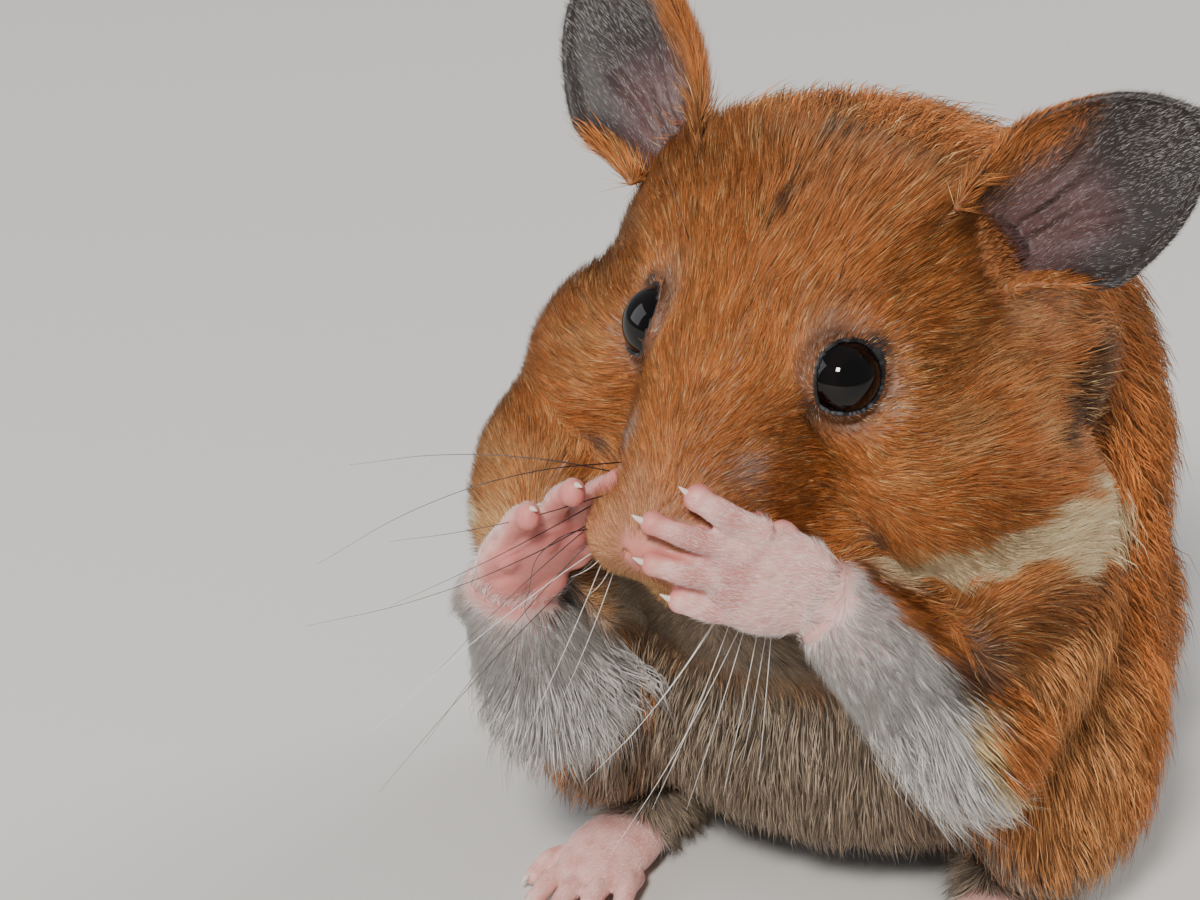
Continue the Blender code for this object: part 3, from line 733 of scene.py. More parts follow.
def skin_colour(places):
    """Bare skin where there is any, and elsewhere the coat's colour greyed by slate underfur and darkened as
    painted shade under the hair.
    """
    head = in_frame(places, HEAD)
    # under the coat: some slate underfur, and painted shade beneath the hair that darkens it to 0.55
    colour = blended(coat_colour(places), SLATE * 0.5, np.full(len(places), 0.3)) * 0.55
    for _, side in SIDES:
        arm, along = on_forearm(places, side)
        colour = blended(colour, WRIST_PINK, 0.9 * arm * rise(along, 0.55, 0.95))
    colour = blended(colour, PINK * 0.85, 0.8 * on_tail(places))
    mottle = 0.5 + 0.5 * ripple(places, 0.9, 21)
    for _, side in SIDES:
        paw = blended(plain(PINK, places), FLUSH, 0.35 * mottle)
        here = in_frame(places, hand_frame(side))
        paw = blended(paw, FLUSH, 0.75 * rise(here[:, 2], 0.1, 1.1))
        lines = [digit_line(digit) for digit in DIGITS]
        off = [segment(here, line[0], line[2])[0] - digit[4] for line, digit in zip(lines, DIGITS)]
        # painted shade: a darker flush in the gaps between the fingers, beyond the knuckles
        finger_gap_shade = rise(np.min(off, axis=0), -0.1, 0.35)
        paw = blended(paw, FLUSH * 0.7, 0.7 * rise(here[:, 0], 8.0, 9.5) * finger_gap_shade)
        colour = blended(colour, paw, on_hand(places, side))
        foot = blended(plain(PINK, places), FLUSH, 0.4 * mottle)
        colour = blended(colour, foot, on_foot(places, side))
        sure, u, v = on_ear(places, side)
        ear = blended(plain(EAR_GREY, places), EAR_MAUVE, rise(u, 0.62, 0.3) * rise(np.abs(v), 0.75, 0.3))
        ear = blended(ear, EAR_BLACK, 0.6 * mottle * rise(u, 0.35, 0.9))
        colour = blended(colour, ear, sure)
    beyond = beyond_lids(places)
    colour = blended(colour, LID_BLACK, rise(beyond, 8, 3))
    # painted glint: a pale line along each lower lid, below the eye's middle
    lower_lid_glint = rise(head[:, 2], EYE_CENTRE[2] + 0.5, EYE_CENTRE[2] - 1.5)
    colour = blended(colour, LID_GLINT, 0.5 * rise(beyond, 0.6, 1.2) * rise(beyond, 2.6, 1.8) * lower_lid_glint)
    colour = blended(colour, NOSE_PINK, patches(head, NOSE_SKIN))
    return blended(colour, LIP_PINK, patches(head, LIP_SKIN))


def paint_points(obj, name, colours):
    """Gives the mesh's points these colours, in a layer of this name."""
    layer = obj.data.color_attributes.new(name, "FLOAT_COLOR", "POINT")
    opaque = np.hstack([colours, np.ones((len(colours), 1))])
    layer.data.foreach_set("color", opaque.astype(np.float32).ravel())


def new_material(name, **settings):
    """Material whose shader sockets, named with underscores, have these values."""
    made = bpy.data.materials.new(name)
    made.use_nodes = True
    shader = made.node_tree.nodes["Principled BSDF"]
    for key, value in settings.items():
        shader.inputs[key.replace("_", " ")].default_value = value
    return made, made.node_tree.nodes, made.node_tree.links, shader


def bumped(nodes, links, shader, layers):
    """Fine relief from noise layers of (size in mm, depth in mm) on the object's own coordinates."""
    coordinates = nodes.new("ShaderNodeTexCoord")
    last = None
    for size, depth in layers:
        noise = nodes.new("ShaderNodeTexNoise")
        noise.inputs["Scale"].default_value = 1 / (size * MM)
        noise.inputs["Detail"].default_value = 3.0
        relief = nodes.new("ShaderNodeBump")
        relief.inputs["Distance"].default_value = depth * MM
        relief.inputs["Strength"].default_value = 1.0
        links.new(coordinates.outputs["Object"], noise.inputs["Vector"])
        links.new(noise.outputs["Fac"], relief.inputs["Height"])
        if last:
            links.new(last.outputs["Normal"], relief.inputs["Normal"])
        last = relief
    links.new(last.outputs["Normal"], shader.inputs["Normal"])


def painted(nodes, links, shader, name):
    """Takes the shader's base colour from the points' layer of this name."""
    colour = nodes.new("ShaderNodeAttribute")
    colour.attribute_name = name
    links.new(colour.outputs["Color"], shader.inputs["Base Color"])


places, normals = points_of(skin)
paint_points(skin, "Markings", skin_colour(places))
SKIN_GRAIN = ((0.7, 0.05), (0.22, 0.03))
finish, nodes, links, shader = new_material(
    "bare_skin", Roughness=0.52, Specular_IOR_Level=0.45, Subsurface_Weight=0.12, Subsurface_Scale=0.0012
)
shader.inputs["Subsurface Radius"].default_value = (1.0, 0.35, 0.25)
painted(nodes, links, shader, "Markings")
bumped(nodes, links, shader, SKIN_GRAIN)
skin.data.materials.clear()
skin.data.materials.append(finish)
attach(skin, "root")
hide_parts(*flesh)


# ---------------------------------------------------------------- eyes
# Two glossy near-black eyeballs with a faint brown iris, as deep in their sockets as the solids hold them.
PUPIL_BLACK, IRIS_BROWN = dye(6, 4, 4), dye(13, 8, 6)
CORNEA_BULGE = 0.012  # as a share of the eyeball's radius
finish, nodes, links, shader = new_material("eyeball", Roughness=0.03, IOR=1.38, Specular_IOR_Level=0.5)
painted(nodes, links, shader, "Iris")
for word, side in SIDES:
    bpy.ops.object.select_all(action="DESELECT")
    bpy.ops.mesh.primitive_uv_sphere_add(segments=64, ring_count=40, radius=1.0)
    eye = bpy.context.object
    eye.name = eye.data.name = "eyeball_" + word
    unit, _ = points_of(eye)
    unit *= MM
    # the pole faces out of the eye, where the cornea bulges a little
    out, side_a, side_b = unit[:, 2], unit[:, 0], unit[:, 1]
    cornea = 1 + CORNEA_BULGE * rise(out, 0.60, 0.95)
    put_points(eye, np.stack([out, side_a, side_b], 1) * (EYE_RADIUS * cornea)[:, None])
    ring = rise(out, 0.62, 0.80) * rise(out, 0.93, 0.86)
    paint_points(eye, "Iris", blended(plain(PUPIL_BLACK, out), IRIS_BROWN, ring))
    eye.data.transform(eye_frame(side))
    merge_doubles(eye, 0.0001)
    eye.data.materials.append(finish)
    eye.data.shade_smooth()
    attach(eye, "root")
    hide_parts("eye_" + word)


# ---------------------------------------------------------------- claws
# Small curved claws of clear horn at the tips of the four fingers and five toes of each paw.
HORN_STREAKS, HORN_DARK, HORN_PALE = 1500, (0.58, 0.42, 0.34, 1), (0.80, 0.68, 0.58, 1)
CLAW_RADII = (0.38, 0.26, 0.05)
FINGER_CLAW, FINGER_CLAW_DROP = 1.4, Vector((0, 0, 0.5))
TOE_CLAW, TOE_CLAW_DROP = 1.5, Vector((0, 0, -0.55))
horn, nodes, links, shader = new_material(
    "claw_horn", Roughness=0.32, Specular_IOR_Level=0.5, Coat_Weight=0.3
)
coordinates = nodes.new("ShaderNodeTexCoord")
streaks = nodes.new("ShaderNodeTexNoise")
streaks.inputs["Scale"].default_value = HORN_STREAKS
tint = nodes.new("ShaderNodeValToRGB")
tint.color_ramp.elements[0].color = HORN_DARK
tint.color_ramp.elements[1].color = HORN_PALE
links.new(coordinates.outputs["Object"], streaks.inputs["Vector"])
links.new(streaks.outputs["Fac"], tint.inputs["Fac"])
links.new(tint.outputs["Color"], shader.inputs["Base Color"])


def claw(tip, forward, place, length, drop):
    """Cone from inside the tip of a finger or toe, curving to its point."""
    root = tip - forward * 0.1
    middle = tip + forward * length * 0.6 + drop * 0.25
    return tapered((root, middle, tip + forward * length + drop), CLAW_RADII, place)


for word, side in SIDES:
    place = hand_frame(side)
    claws = []
    for digit in DIGITS:
        _, _, tip, forward = digit_line(digit)
        claws.append(claw(tip + Vector((0, 0, -0.25)), forward, place, FINGER_CLAW, FINGER_CLAW_DROP))
    for i in range(len(TOE_LENGTHS)):
        _, _, tip, forward = toe_line(i)
        claws.append(claw(tip + Vector((0, 0, 0.3)), forward, foot_frame(side), TOE_CLAW, TOE_CLAW_DROP))
    claws = join(claws, "claws_" + word)
    claws.data.materials.clear()
    claws.data.materials.append(horn)
    claws.data.shade_smooth()
    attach(claws, "root")


# ---------------------------------------------------------------- coat
# Every hair is a thin closed spike, rooted in the skin and lying along the coat, in locks whose tips
# draw together. Short and fine on face, ears and paws, longer and looser on body and elbows.
COAT_SEED = 7
STRAIGHT_BELOW = 4.2  # hairs shorter than this are straight spikes of four faces
GUARD_SHARE, DOWN_SHARE = 0.08, 0.74  # longer hairs that stand out, and of the rest the short thin ones
ROOT_DEPTH = 0.12
FIRST_LIFT, SECOND_LIFT = 1.3, 0.35  # of a hair's lift, below its bend and above it
# the pale straw hairs are partly the coat's own pale hairs and partly painted glints
STRAW_GLINT_SHARE, DARK_SHARE = 0.11, 0.10  # hairs in another colour among the golden ones
STRAW_GLINT, TAIL_HAIR = dye(246, 206, 146), dye(225, 205, 198)
EAR_HAIR, EAR_HAIR_ROOT = dye(96, 84, 78), dye(64, 54, 52)
PAW_HAIR, PAW_HAIR_ROOT = dye(232, 218, 214), dye(232, 206, 200)


def unit_rows(rows):
    """Rows scaled to a length of 1."""
    return rows / np.maximum(np.linalg.norm(rows, axis=1), 1e-9)[:, None]


def mixed(under, over, share):
    """Values or directions drawn from one set towards another by a share for each."""
    return under + (over - under) * (share if np.ndim(under) < 2 else share[:, None])


def arm_share(places, side):
    """1 on a forearm's coat and 0 off it, how far along it places are, and 1 on its underside."""
    share, along = on_forearm(places, side)
    below = rise(places @ (0.8 * side, 1.5, 1.0), 3.0, -2.0) if side > 0 else rise(places[:, 2], 30, 24)
    return share, along, below


def near_ears(places):
    """1 by the root of an ear, 0 a little way off."""
    off = own_half(in_frame(places, HEAD)) - (np.array(EAR_BASE) + (1.0, -0.5, -1.0))
    return rise(np.linalg.norm(off / (1.0, 1.0, 1.1), axis=1), 9.0, 5.5)


def lie_of_coat(places, normals):
    """The way that hairs lie at these places, along the skin."""
    head = in_frame(places, HEAD)
    side = np.sign(head[:, 0])
    mirror = own_half(head)
    out = np.clip(np.abs(head[:, 0]) / 20, 0, 1)
    way = np.stack([0.10 + 0.25 * out, np.ones(len(head)), -0.05 - 0.30 * out], 1)
    from_eye = mirror - np.array(EYE_CENTRE)
    off = np.linalg.norm(from_eye, axis=1)
    way += from_eye / np.maximum(off, 0.1)[:, None] * (1.5 * np.exp(-((off - 3.2) / 2.6)))[:, None]
    way[:, 0] *= side
    way = way @ np.array(HEAD)[:3, :3].T
    trail = np.stack([0.012 * places[:, 0], np.where(places[:, 1] > 0, 0.5, 0.12), -np.ones(len(places))], 1)
    way = mixed(trail, way, head_share(places))
    for _, side in SIDES:
        wrist = np.array(ARMS[side][1])
        fan = unit_rows(places - (wrist + (-2.0 * side, -1.0, 3.0))) + (0.2 * side, 0, -0.45)
        way = mixed(way, fan, arm_share(places, side)[0])
        way = mixed(way, np.array(hand_frame(side))[:3, 0], on_hand(places, side))
        way = mixed(way, -np.array(foot_frame(side))[:3, 1], on_foot(places, side))
        sure, u, v = on_ear(places, side)
        up_ear = np.stack([0.9 + 0 * v, np.clip(0.45 * v, -0.6, 0.6), 0 * v], 1)
        up_ear = up_ear @ np.array(ear_frame(side))[:3, :3].T
        own_side = head[:, 0] * side > 0
        way = mixed(way, up_ear, np.maximum(sure, 0.8 * own_side * near_ears(places)))
    way = mixed(way, np.array((0, 1.0, -0.4)), on_tail(places))
    way -= (way * normals).sum(1)[:, None] * normals
    return unit_rows(way)


# hairs per square mm, their length and width in mm, their lift in degrees and how far they lock together:
# on body, tail, feet, hands and ears, then for the face as rows of places behind the nose and values there
BODY_COAT, TAIL_COAT = (14.0, 6.2, 0.11, 19, 0.42), (20, 0.9, 0.06, 14, 0.15)
FOOT_COAT, HAND_COAT = (24, 0.9, 0.055, 14, 0.15), (46, 1.8, 0.042, 14, 0.15)
EAR_COAT = (38, 0.95, 0.042, 16, 0.15)
FACE_COAT = (
    ((0, 10, 22, 34, 44), (50, 44, 38, 27, 16)),
    ((0, 2, 4, 8, 14, 20, 30, 40), (0.9, 1.4, 1.7, 2.0, 2.3, 2.6, 3.3, 4.8)),
    ((0, 8, 20, 40), (0.055, 0.065, 0.078, 0.11)),
    ((0, 4, 10, 30, 44), (28, 24, 17, 16, 18)),
    ((0, 44), (0.35, 0.35)),
)


def hair_habit(places):
    """Density, length, width, lift and locking of the coat at these places."""
    head = in_frame(places, HEAD)
    behind, height, side_off = head[:, 1], head[:, 2], np.abs(head[:, 0])
    share = head_share(places)
    face = [np.interp(behind, *row) for row in FACE_COAT]
    face[1] *= 0.38 + 0.62 * rise(from_eyes(places), 3.4, 6.0)
    face[1] += 1.2 * rise(side_off, 15, 21) * rise(behind, 14, 30)
    face[1] *= 1 - 0.62 * near_ears(places) * (head[:, 0] > 0)
    face[1] += 0.9 * rise(height, 11, 16) * rise(behind, 24, 32) * (1 - near_ears(places))
    face[3] = face[3] + 14 * rise(height, 10, 16) * rise(behind, 20, 34) - 5 * near_ears(places)
    face[3] += 9 * rise(height, -2.0, -4.5) * rise(behind, 10, 5)
    body = [value + 0 * behind for value in BODY_COAT]
    body[1] *= 1 - 0.45 * rise(places[:, 2], 10, 4)
    habit = [mixed(rest, own, share) for rest, own in zip(body, face)]
    for _, side in SIDES:
        arm, along, below = arm_share(places, side)
        own = [
            np.interp(along, (0, 1), (24, 40)),
            np.interp(along, (0, 0.5, 0.9, 1), (5.2, 4.1, 2.4, 1.7)) + 1.8 * below * rise(along, 0.75, 0.2),
            np.interp(along, (0, 1), (0.085, 0.055)),
            21 + 8 * below,
            0.4 + 0.25 * below,
        ]
        habit = [mixed(rest, new, arm) for rest, new in zip(habit, own)]
        x, _, z = in_frame(places, hand_frame(side)).T
        back_of_hand = np.maximum(rise(z, 0.5, -0.3), rise(x, 3.4, 1.2)) * rise(x, 17.5, 14)
        own = list(HAND_COAT)
        own[:2] = own[0] * back_of_hand, np.interp(x, (0, 4, 16), (own[1], 1.3, 0.8))
        habit = [mixed(rest, new, on_hand(places, side)) for rest, new in zip(habit, own)]
        own = list(FOOT_COAT)
        own[0] = own[0] * rise(places[:, 2], 1.6, 2.4)
        habit = [mixed(rest, new, on_foot(places, side)) for rest, new in zip(habit, own)]
        sure, u, v = on_ear(places, side)
        edge_fur = rise(u, *((0.66, 0.3) if side > 0 else (1.1, 0.8))) * rise(v, -0.2, -0.75)
        longer = (6, 0.9 if side > 0 else 2.0, 0.03, 0, 0)
        own = [value + more * edge_fur for value, more in zip(EAR_COAT, longer)]
        habit = [mixed(rest, new, sure) for rest, new in zip(habit, own)]
    habit = [mixed(rest, new, on_tail(places)) for rest, new in zip(habit, TAIL_COAT)]
    nose = (behind < 1.1) & (side_off < 1.3) & (np.abs(height - 0.3) < 1.3)
    habit[0] = np.where(nose | (beyond_lids(places) < 1.5), 0, habit[0])
    return habit


# roots spread over the skin by density, each with its normal and its place on the skin's unwrap
random = np.random.default_rng(COAT_SEED)
places, normals = points_of(skin)
skin.data.calc_loop_triangles()
corners = np.empty(len(skin.data.loop_triangles) * 3, np.int32)
loops = np.empty(len(corners), np.int32)
skin.data.loop_triangles.foreach_get("vertices", corners)
skin.data.loop_triangles.foreach_get("loops", loops)
corners, loops = corners.reshape(-1, 3), loops.reshape(-1, 3)
unwrap = np.empty(len(skin.data.loops) * 2)
skin.data.uv_layers["OFBake"].data.foreach_get("uv", unwrap)
unwrap = unwrap.reshape(-1, 2)
density = hair_habit(places)[0]
edge_a, edge_b = places[corners[:, 1]] - places[corners[:, 0]], places[corners[:, 2]] - places[corners[:, 0]]
area = np.linalg.norm(np.cross(edge_a, edge_b), axis=1) / 2
wanted = np.cumsum(area * density[corners].mean(1))
count = int(wanted[-1])
picks = np.searchsorted(wanted, (np.arange(count) + random.random(count)) * wanted[-1] / count)
picks = np.minimum(picks, len(corners) - 1)
share_a, share_b = random.random(count), random.random(count)
over = share_a + share_b > 1
share_a[over], share_b[over] = 1 - share_a[over], 1 - share_b[over]
shares = np.stack([1 - share_a - share_b, share_a, share_b], 1)[:, :, None]
roots = (places[corners[picks]] * shares).sum(1)
root_normals = unit_rows((normals[corners[picks]] * shares).sum(1))
root_uv = (unwrap[loops[picks]] * shares).sum(1)

# each hair's path: it leaves the skin at its lift and bends back along it
density, length, width, lift, locking = hair_habit(roots)
way = lie_of_coat(roots, root_normals)
across = np.cross(way, root_normals)
stray = np.radians(8 * ripple(roots, 4.0, 31) + 6 * ripple(roots, 1.3, 32) + random.normal(0, 6, count))
way = way * np.cos(stray)[:, None] + across * np.sin(stray)[:, None]
across = np.cross(way, root_normals)
guard = random.random(count) < GUARD_SHARE
down = ~guard & (length > STRAIGHT_BELOW) & (random.random(count) < DOWN_SHARE)
straight = down | (length < STRAIGHT_BELOW)
length = length * random.uniform(0.72, 1.12, count) * np.where(guard, 1.2, 1) * np.where(down, 0.62, 1)
width = width * np.where(down, 0.7, 1)
lift = np.radians(lift * random.uniform(0.75, 1.3, count) * np.where(guard, 1.15, 1))
start = roots - root_normals * ROOT_DEPTH
first, second = (
    way * np.cos(lift * share)[:, None] + root_normals * np.sin(lift * share)[:, None]
    for share in (FIRST_LIFT, SECOND_LIFT)
)
second[:, 2] -= 0.02 * length
bend = start + first * (length * 0.5)[:, None]
tip = bend + unit_rows(second) * (length * 0.5)[:, None]

# locks: each hair leans to the tip of the nearest lock's middle hair
spacing = np.interp(length, (0.5, 3, 8), (0.2, 0.5, 1.1))
middles = np.nonzero(random.random(count) < 1 / (density * spacing**2 * 1.6 + 1))[0]
tree = kdtree.KDTree(len(middles))
for i, root in enumerate(roots[middles]):
    tree.insert(root, i)
tree.balance()
lock = np.array([tree.find(root)[1] for root in roots])
middle = middles[lock]
gap = np.linalg.norm(roots - roots[middle], axis=1)
lean = locking * rise(gap, 2.6 * spacing, 1.2 * spacing) * rise((way * way[middle]).sum(1), 0.5, 0.85)
lean *= np.minimum(length / length[middle], 1)
tip += (tip[middle] + 0.25 * (roots - roots[middle]) - tip) * lean[:, None]
bend += (bend[middle] + 0.6 * (roots - roots[middle]) - bend) * (0.6 * lean)[:, None]

# a hair that crosses a fold is moved out to stay over the skin
surface = bvhtree.BVHTree.FromObject(skin, bpy.context.evaluated_depsgraph_get())
for level, share in ((bend, 0.3), (tip, 0.45)):
    for i, least in enumerate(share * length * np.sin(lift)):
        point = Vector(level[i]) * MM
        near, facing, _, _ = surface.find_nearest(point)
        short = least - (point - near).dot(facing) / MM
        if short > 0:
            level[i] += np.array(facing) * short
    level[:, 2] = np.maximum(level[:, 2], 0.15)

# colours from root to tip: slate at the root of coloured hair, with pale straw hairs that are partly painted
# glints, and dark and dark-tipped hairs in it
chance = 0.5 + 0.17 * random.uniform(-1, 1, len(middles))[lock] + 0.26 * random.uniform(-1, 1, count)
chance = np.clip(chance, 0.15, 0.85)
colour = coat_colour(roots, chance)
lock_shade = random.normal(0, 0.10, len(middles))[lock]
shade = np.clip(1 + lock_shade + random.normal(0, 0.20, count), 0.45, 1.7)[:, None]
paleness = rise(colour.min(1), 0.12, 0.4)
kind = random.random(count)
# painted glints: some hairs turned pale straw, more of them on the head
colour = blended(colour, STRAW_GLINT, (0.3 + 0.35 * head_share(roots)) * (kind < STRAW_GLINT_SHARE) * (1 - paleness))
colour = blended(colour, colour * 0.45, 0.8 * (kind > 1 - DARK_SHARE) * (1 - paleness))
root_colour = blended(blended(colour * 0.7, SLATE * 0.6, 0.5 + 0 * paleness), colour * 0.85, paleness)
root_colour[straight] = blended(root_colour, colour * 0.75, 0.7 + 0 * paleness)[straight]
head = in_frame(roots, HEAD)
on_head = head_share(roots)
ticked = mixed(0.30 + 0 * on_head, np.interp(head[:, 1], (5, 20, 32), (0.05, 0.10, 0.24)), on_head)
dark_tip = random.random(count) < ticked * (1 - paleness)
dark_tip |= guard & (random.random(count) < 0.5) & (paleness < 0.5)
silver = np.zeros(count)
for _, side in SIDES:
    sure, u, v = on_ear(roots, side)
    bare_ear = sure * rise(v + 0.6 * rise(u, 0.5, 0.9) * (side > 0), -0.7, -0.2)
    colour = blended(colour, EAR_HAIR, bare_ear)
    root_colour = blended(root_colour, EAR_HAIR_ROOT, bare_ear)
    sheen = np.exp(-(((u - 0.72) / 0.2) ** 2) - ((v - 0.1) / 0.35) ** 2)
    bright = 0.30 + 0.35 * rise(u, 0.4, 0.9) + 0.6 * sheen
    silver = np.maximum(silver, bare_ear * (random.random(count) < bright))
    paw = np.maximum(on_hand(roots, side), on_foot(roots, side))
    colour = blended(colour, PAW_HAIR, paw)
    root_colour = blended(root_colour, PAW_HAIR_ROOT, paw)
near_lids = rise(beyond_lids(roots), 30, 10)
silver = np.maximum(silver, near_lids * (random.random(count) < 0.10))
colour = blended(colour, SILVER, silver)
colour = blended(colour, TAIL_HAIR, 0.9 * on_tail(roots))
tip_colour = blended(colour * 1.15, SOOT * 1.3, dark_tip * 0.85)
root_colour, mid_colour, tip_colour = root_colour * shade, colour * shade, tip_colour * shade

# a spike's points: three round the root, three round the bend of a bent one, and the tip
RING = np.array(((0.5, 0.0), (0.0, 0.42), (-0.5, 0.0)))
BENT_FACES = ((0, 1, 2), (0, 3, 4, 1), (1, 4, 5, 2), (2, 5, 3, 0), (3, 6, 4), (4, 6, 5), (5, 6, 3))
STRAIGHT_FACES = ((0, 1, 2), (0, 3, 1), (1, 3, 2), (2, 3, 0))
PATCH = np.array(((-1, -1), (0, -1), (1, -1), (-1, 0), (0, 0), (1, 0), (0, 1))) * 0.0015
# the coat is cut into zones, and a zone of more triangles than this into equal pieces
PIECE_TRIANGLES, STRAIGHT_TRIANGLES, BENT_TRIANGLES = 198000, 4, 10


def spikes(chosen, bent):
    """Points, faces, patches and colours of the chosen hairs."""
    side_way, out_way = across[chosen][:, None, :], root_normals[chosen][:, None, :]
    thick = width[chosen][:, None, None]
    ring = RING[None, :, :1] * side_way * thick + RING[None, :, 1:] * out_way * thick
    rows = [start[chosen][:, None] + ring, bend[chosen][:, None] + ring * 0.8, tip[chosen][:, None]]
    tones = [root_colour[chosen][:, None].repeat(3, 1), mid_colour[chosen][:, None].repeat(3, 1)]
    tones.append(tip_colour[chosen][:, None])
    kept = (0, 1, 2) if bent else (0, 2)
    points = np.concatenate([rows[i] for i in kept], 1)
    colours = np.concatenate([tones[i] for i in kept], 1)
    patch = PATCH if bent else PATCH[[0, 1, 2, 6]]
    spots = root_uv[chosen][:, None, :] + patch[None]
    return points, colours, spots, BENT_FACES if bent else STRAIGHT_FACES


def coat_piece(name, chosen):
    """One mesh of all the chosen hairs, with their colours and their patches on the unwrap."""
    points, colours, spots, corner_points, sizes = [], [], [], [], []
    first_point = 0
    for bent in (True, False):
        kind = chosen[straight[chosen] != bent]
        places, tones, patches, faces = spikes(kind, bent)
        corner = np.concatenate([np.array(face) for face in faces])
        base = first_point + np.arange(len(kind))[:, None] * places.shape[1]
        corner_points.append((base + corner).ravel())
        sizes.append(np.tile([len(face) for face in faces], len(kind)))
        points.append(places.reshape(-1, 3))
        colours.append(tones.reshape(-1, 3))
        spots.append(patches.reshape(-1, 2))
        first_point += len(points[-1])
    points, colours, spots = (np.concatenate(rows) for rows in (points, colours, spots))
    corner_points, sizes = (np.concatenate(rows).astype(np.int32) for rows in (corner_points, sizes))
    mesh = bpy.data.meshes.new(name)
    mesh.vertices.add(len(points))
    mesh.vertices.foreach_set("co", (points * MM).ravel())
    mesh.loops.add(len(corner_points))
    mesh.loops.foreach_set("vertex_index", corner_points)
    mesh.polygons.add(len(sizes))
    mesh.polygons.foreach_set("loop_start", np.concatenate([[0], np.cumsum(sizes)[:-1]]))
    mesh.update(calc_edges=True)
    layer = mesh.uv_layers.new(name="OFBake")
    layer.data.foreach_set("uv", spots[corner_points].astype(np.float32).ravel())
    piece = bpy.data.objects.new(name, mesh)
    bpy.context.scene.collection.objects.link(piece)
    paint_points(piece, "Hair", np.clip(colours, 0.002, 0.95))
    mesh.shade_smooth()
    return piece


hair, nodes, links, shader = new_material("hair", Roughness=0.5, Specular_IOR_Level=0.15)
painted(nodes, links, shader, "Hair")
arm_part = [arm_share(roots, side)[0] > 0.5 for _, side in SIDES]
round_body = round_trunk(roots)
paws = sum(on_hand(roots, side) + on_foot(roots, side) for _, side in SIDES) > 0.5
ears = sum(on_ear(roots, side)[0] for _, side in SIDES) > 0.5
zones = (
    ("coat_paws", "hand_left", paws),
    ("coat_ears", "ear_left", ears),
    ("coat_muzzle", "head", (on_head > 0.5) & (head[:, 1] < 13)),
    ("coat_crown", "head", (on_head > 0.5) & (head[:, 2] > 9)),
    ("coat_cheek_left", "head", (on_head > 0.5) & (head[:, 0] > 0)),
    ("coat_cheek_right", "head", on_head > 0.5),
    ("coat_arm_left", "forearm_left", arm_part[0]),
    ("coat_arm_right", "forearm_right", arm_part[1]),
    ("coat_chest", "trunk", round_body < 50),
    ("coat_flank_left", "trunk", (round_body < 120) & (roots[:, 0] > 0)),
    ("coat_flank_right", "trunk", round_body < 120),
    ("coat_back", "trunk", round_body < 181),
)
unplaced = np.ones(count, bool)
for name, body_slot, belongs in zones:
    chosen = np.nonzero(belongs & unplaced)[0]
    unplaced &= ~belongs
    straight_count = straight[chosen].sum()
    triangles = STRAIGHT_TRIANGLES * straight_count + BENT_TRIANGLES * (len(chosen) - straight_count)
    parts = math.ceil(1.02 * triangles / PIECE_TRIANGLES)
    for i, part in enumerate(np.array_split(chosen, parts)):
        piece = coat_piece(name if parts == 1 else f"{name}_{i + 1}", part)
        piece.data.materials.append(hair)
        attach(piece, "root")


# ---------------------------------------------------------------- whiskers
# Stiff tapering whiskers from the pads beside the nose. On the free right cheek most are dark and fan out
# forwards, and a few are clear; those of the left cheek hang clear and white below the hand on them.
finish, nodes, links, shader = new_material("whisker", Roughness=0.3, Specular_IOR_Level=0.5)
painted(nodes, links, shader, "Hair")
# colours at root and tip, and radii at the root
DARK, CLEAR = (dye(12, 9, 9), dye(96, 88, 84)), (dye(214, 208, 200), dye(244, 242, 238))
DARK_RADIUS, CURLED_RADIUS, BROW_RADIUS = 0.055, 0.05, 0.045
CLEAR_RIGHT_RADIUS, CLEAR_LEFT_RADIUS = 0.04, 0.045


def whisker(knots, side, thick, tone):
    """Whisker through knots in the head axes of its own half, its colour fading from root to tip."""
    made = tapered(knots, np.linspace(thick, thick * 0.2, len(knots)), HEAD @ mirrored(side), roundness=1)
    places, _ = points_of(made)
    root = np.array((HEAD @ mirrored(side)) @ (Vector(knots[0]) * MM)) / MM
    along = np.linalg.norm(places - root, axis=1)
    share = rise(along / along.max(), 0.15, 0.9)
    paint_points(made, "Hair", blended(plain(tone[0], places), tone[1], share))
    return made


def bowed(root, reach, sag):
    """Four knots from root to reach, sagging between them."""
    root, reach = Vector(root), Vector(reach)
    return [root.lerp(reach, t) - Vector((0, 0, 4 * sag * t * (1 - t))) for t in (-0.04, 0.3, 0.65, 1.0)]


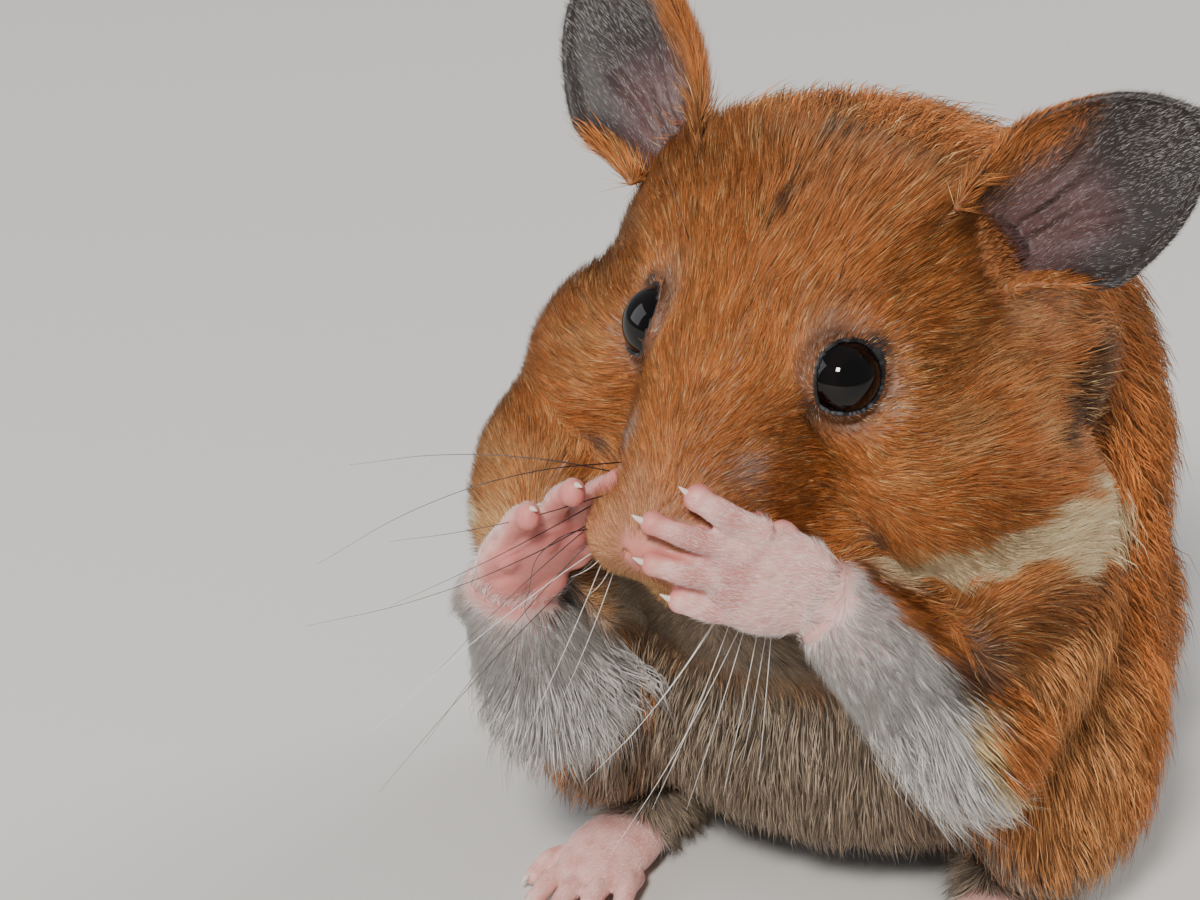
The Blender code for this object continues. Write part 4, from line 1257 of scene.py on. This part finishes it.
# root, reach and sag
DARK_RIGHT = (
    ((4.8, 5.6, 3.4), (21.5, -11.0, 0.6), -2.2), ((5.7, 5.0, 0.2), (18.6, -7.4, -5.6), 0.4),
    ((5.0, 4.0, -0.4), (22.6, -12.6, -4.8), 1.6), ((5.6, 5.0, -1.0), (14.4, -8.6, -10.0), -0.6),
    ((5.4, 6.4, -2.0), (14.0, -12.0, -14.4), -1.2), ((4.2, 3.2, -2.0), (15.0, -17.0, -15.4), -0.8),
    ((5.0, 3.6, 1.6), (19.8, -4.6, -1.8), 0.6), ((5.8, 7.0, 0.8), (24.5, -2.0, 2.2), -1.4),
)
CLEAR_RIGHT = (
    ((4.6, 4.4, -2.6), (16.0, -15.0, -11.0), -0.8), ((5.0, 3.0, -3.0), (7.6, -9.0, -15.3), 0.4),
    ((3.4, 1.6, -1.0), (6.0, -0.8, -3.4), 0.5), ((3.6, 2.2, -2.2), (5.6, 0.2, -6.0), 0.7),
    ((4.4, 4.0, -3.4), (5.4, -5.0, -12.0), 0.5),
)
CURLED_RIGHT = (
    (5.0, 3.0, -1.0), (7.2, 0.0, -0.6), (10.7, -0.4, -7.0),
    (11.1, -0.4, -10.2), (9.4, 0.0, -10.9), (5.8, 0.0, -7.9),
)
CLEAR_LEFT = (
    ((4.0, 7.5, -6.0), (-2.0, -8.5, -16.5), 1.5), ((4.8, 9.5, -6.5), (1.0, -10.5, -21.0), 1.5),
    ((4.4, 7.0, -5.8), (3.2, -7.4, -18.0), 0.8), ((5.0, 8.0, -6.0), (5.0, -5.6, -19.0), 0.6),
    ((5.4, 8.6, -6.2), (7.0, -3.5, -18.6), 0.4), ((5.8, 9.0, -6.2), (9.0, -1.5, -18.0), 0.2),
    ((4.2, 6.4, -5.6), (0.2, -5.6, -14.0), 0.8), ((5.6, 9.4, -6.6), (6.0, 1.0, -19.5), 0.2),
)
BROW_HAIR = ((6.2, 20.5, 12.0), (8.6, 21.6, 19.5), -0.3)
groups = {
    "whiskers_right": [whisker(bowed(*row), -1, DARK_RADIUS, DARK) for row in DARK_RIGHT]
    + [whisker(bowed(*row), -1, CLEAR_RIGHT_RADIUS, CLEAR) for row in CLEAR_RIGHT]
    + [whisker(CURLED_RIGHT, -1, CURLED_RADIUS, DARK), whisker(bowed(*BROW_HAIR), -1, BROW_RADIUS, DARK)],
    "whiskers_left": [whisker(bowed(*row), 1, CLEAR_LEFT_RADIUS, CLEAR) for row in CLEAR_LEFT]
    + [whisker(bowed(*BROW_HAIR), 1, BROW_RADIUS, DARK)],
}
for name, group in groups.items():
    group = join(group, name)
    group.data.materials.clear()
    group.data.materials.append(finish)
    group.data.shade_smooth()
    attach(group, "root")
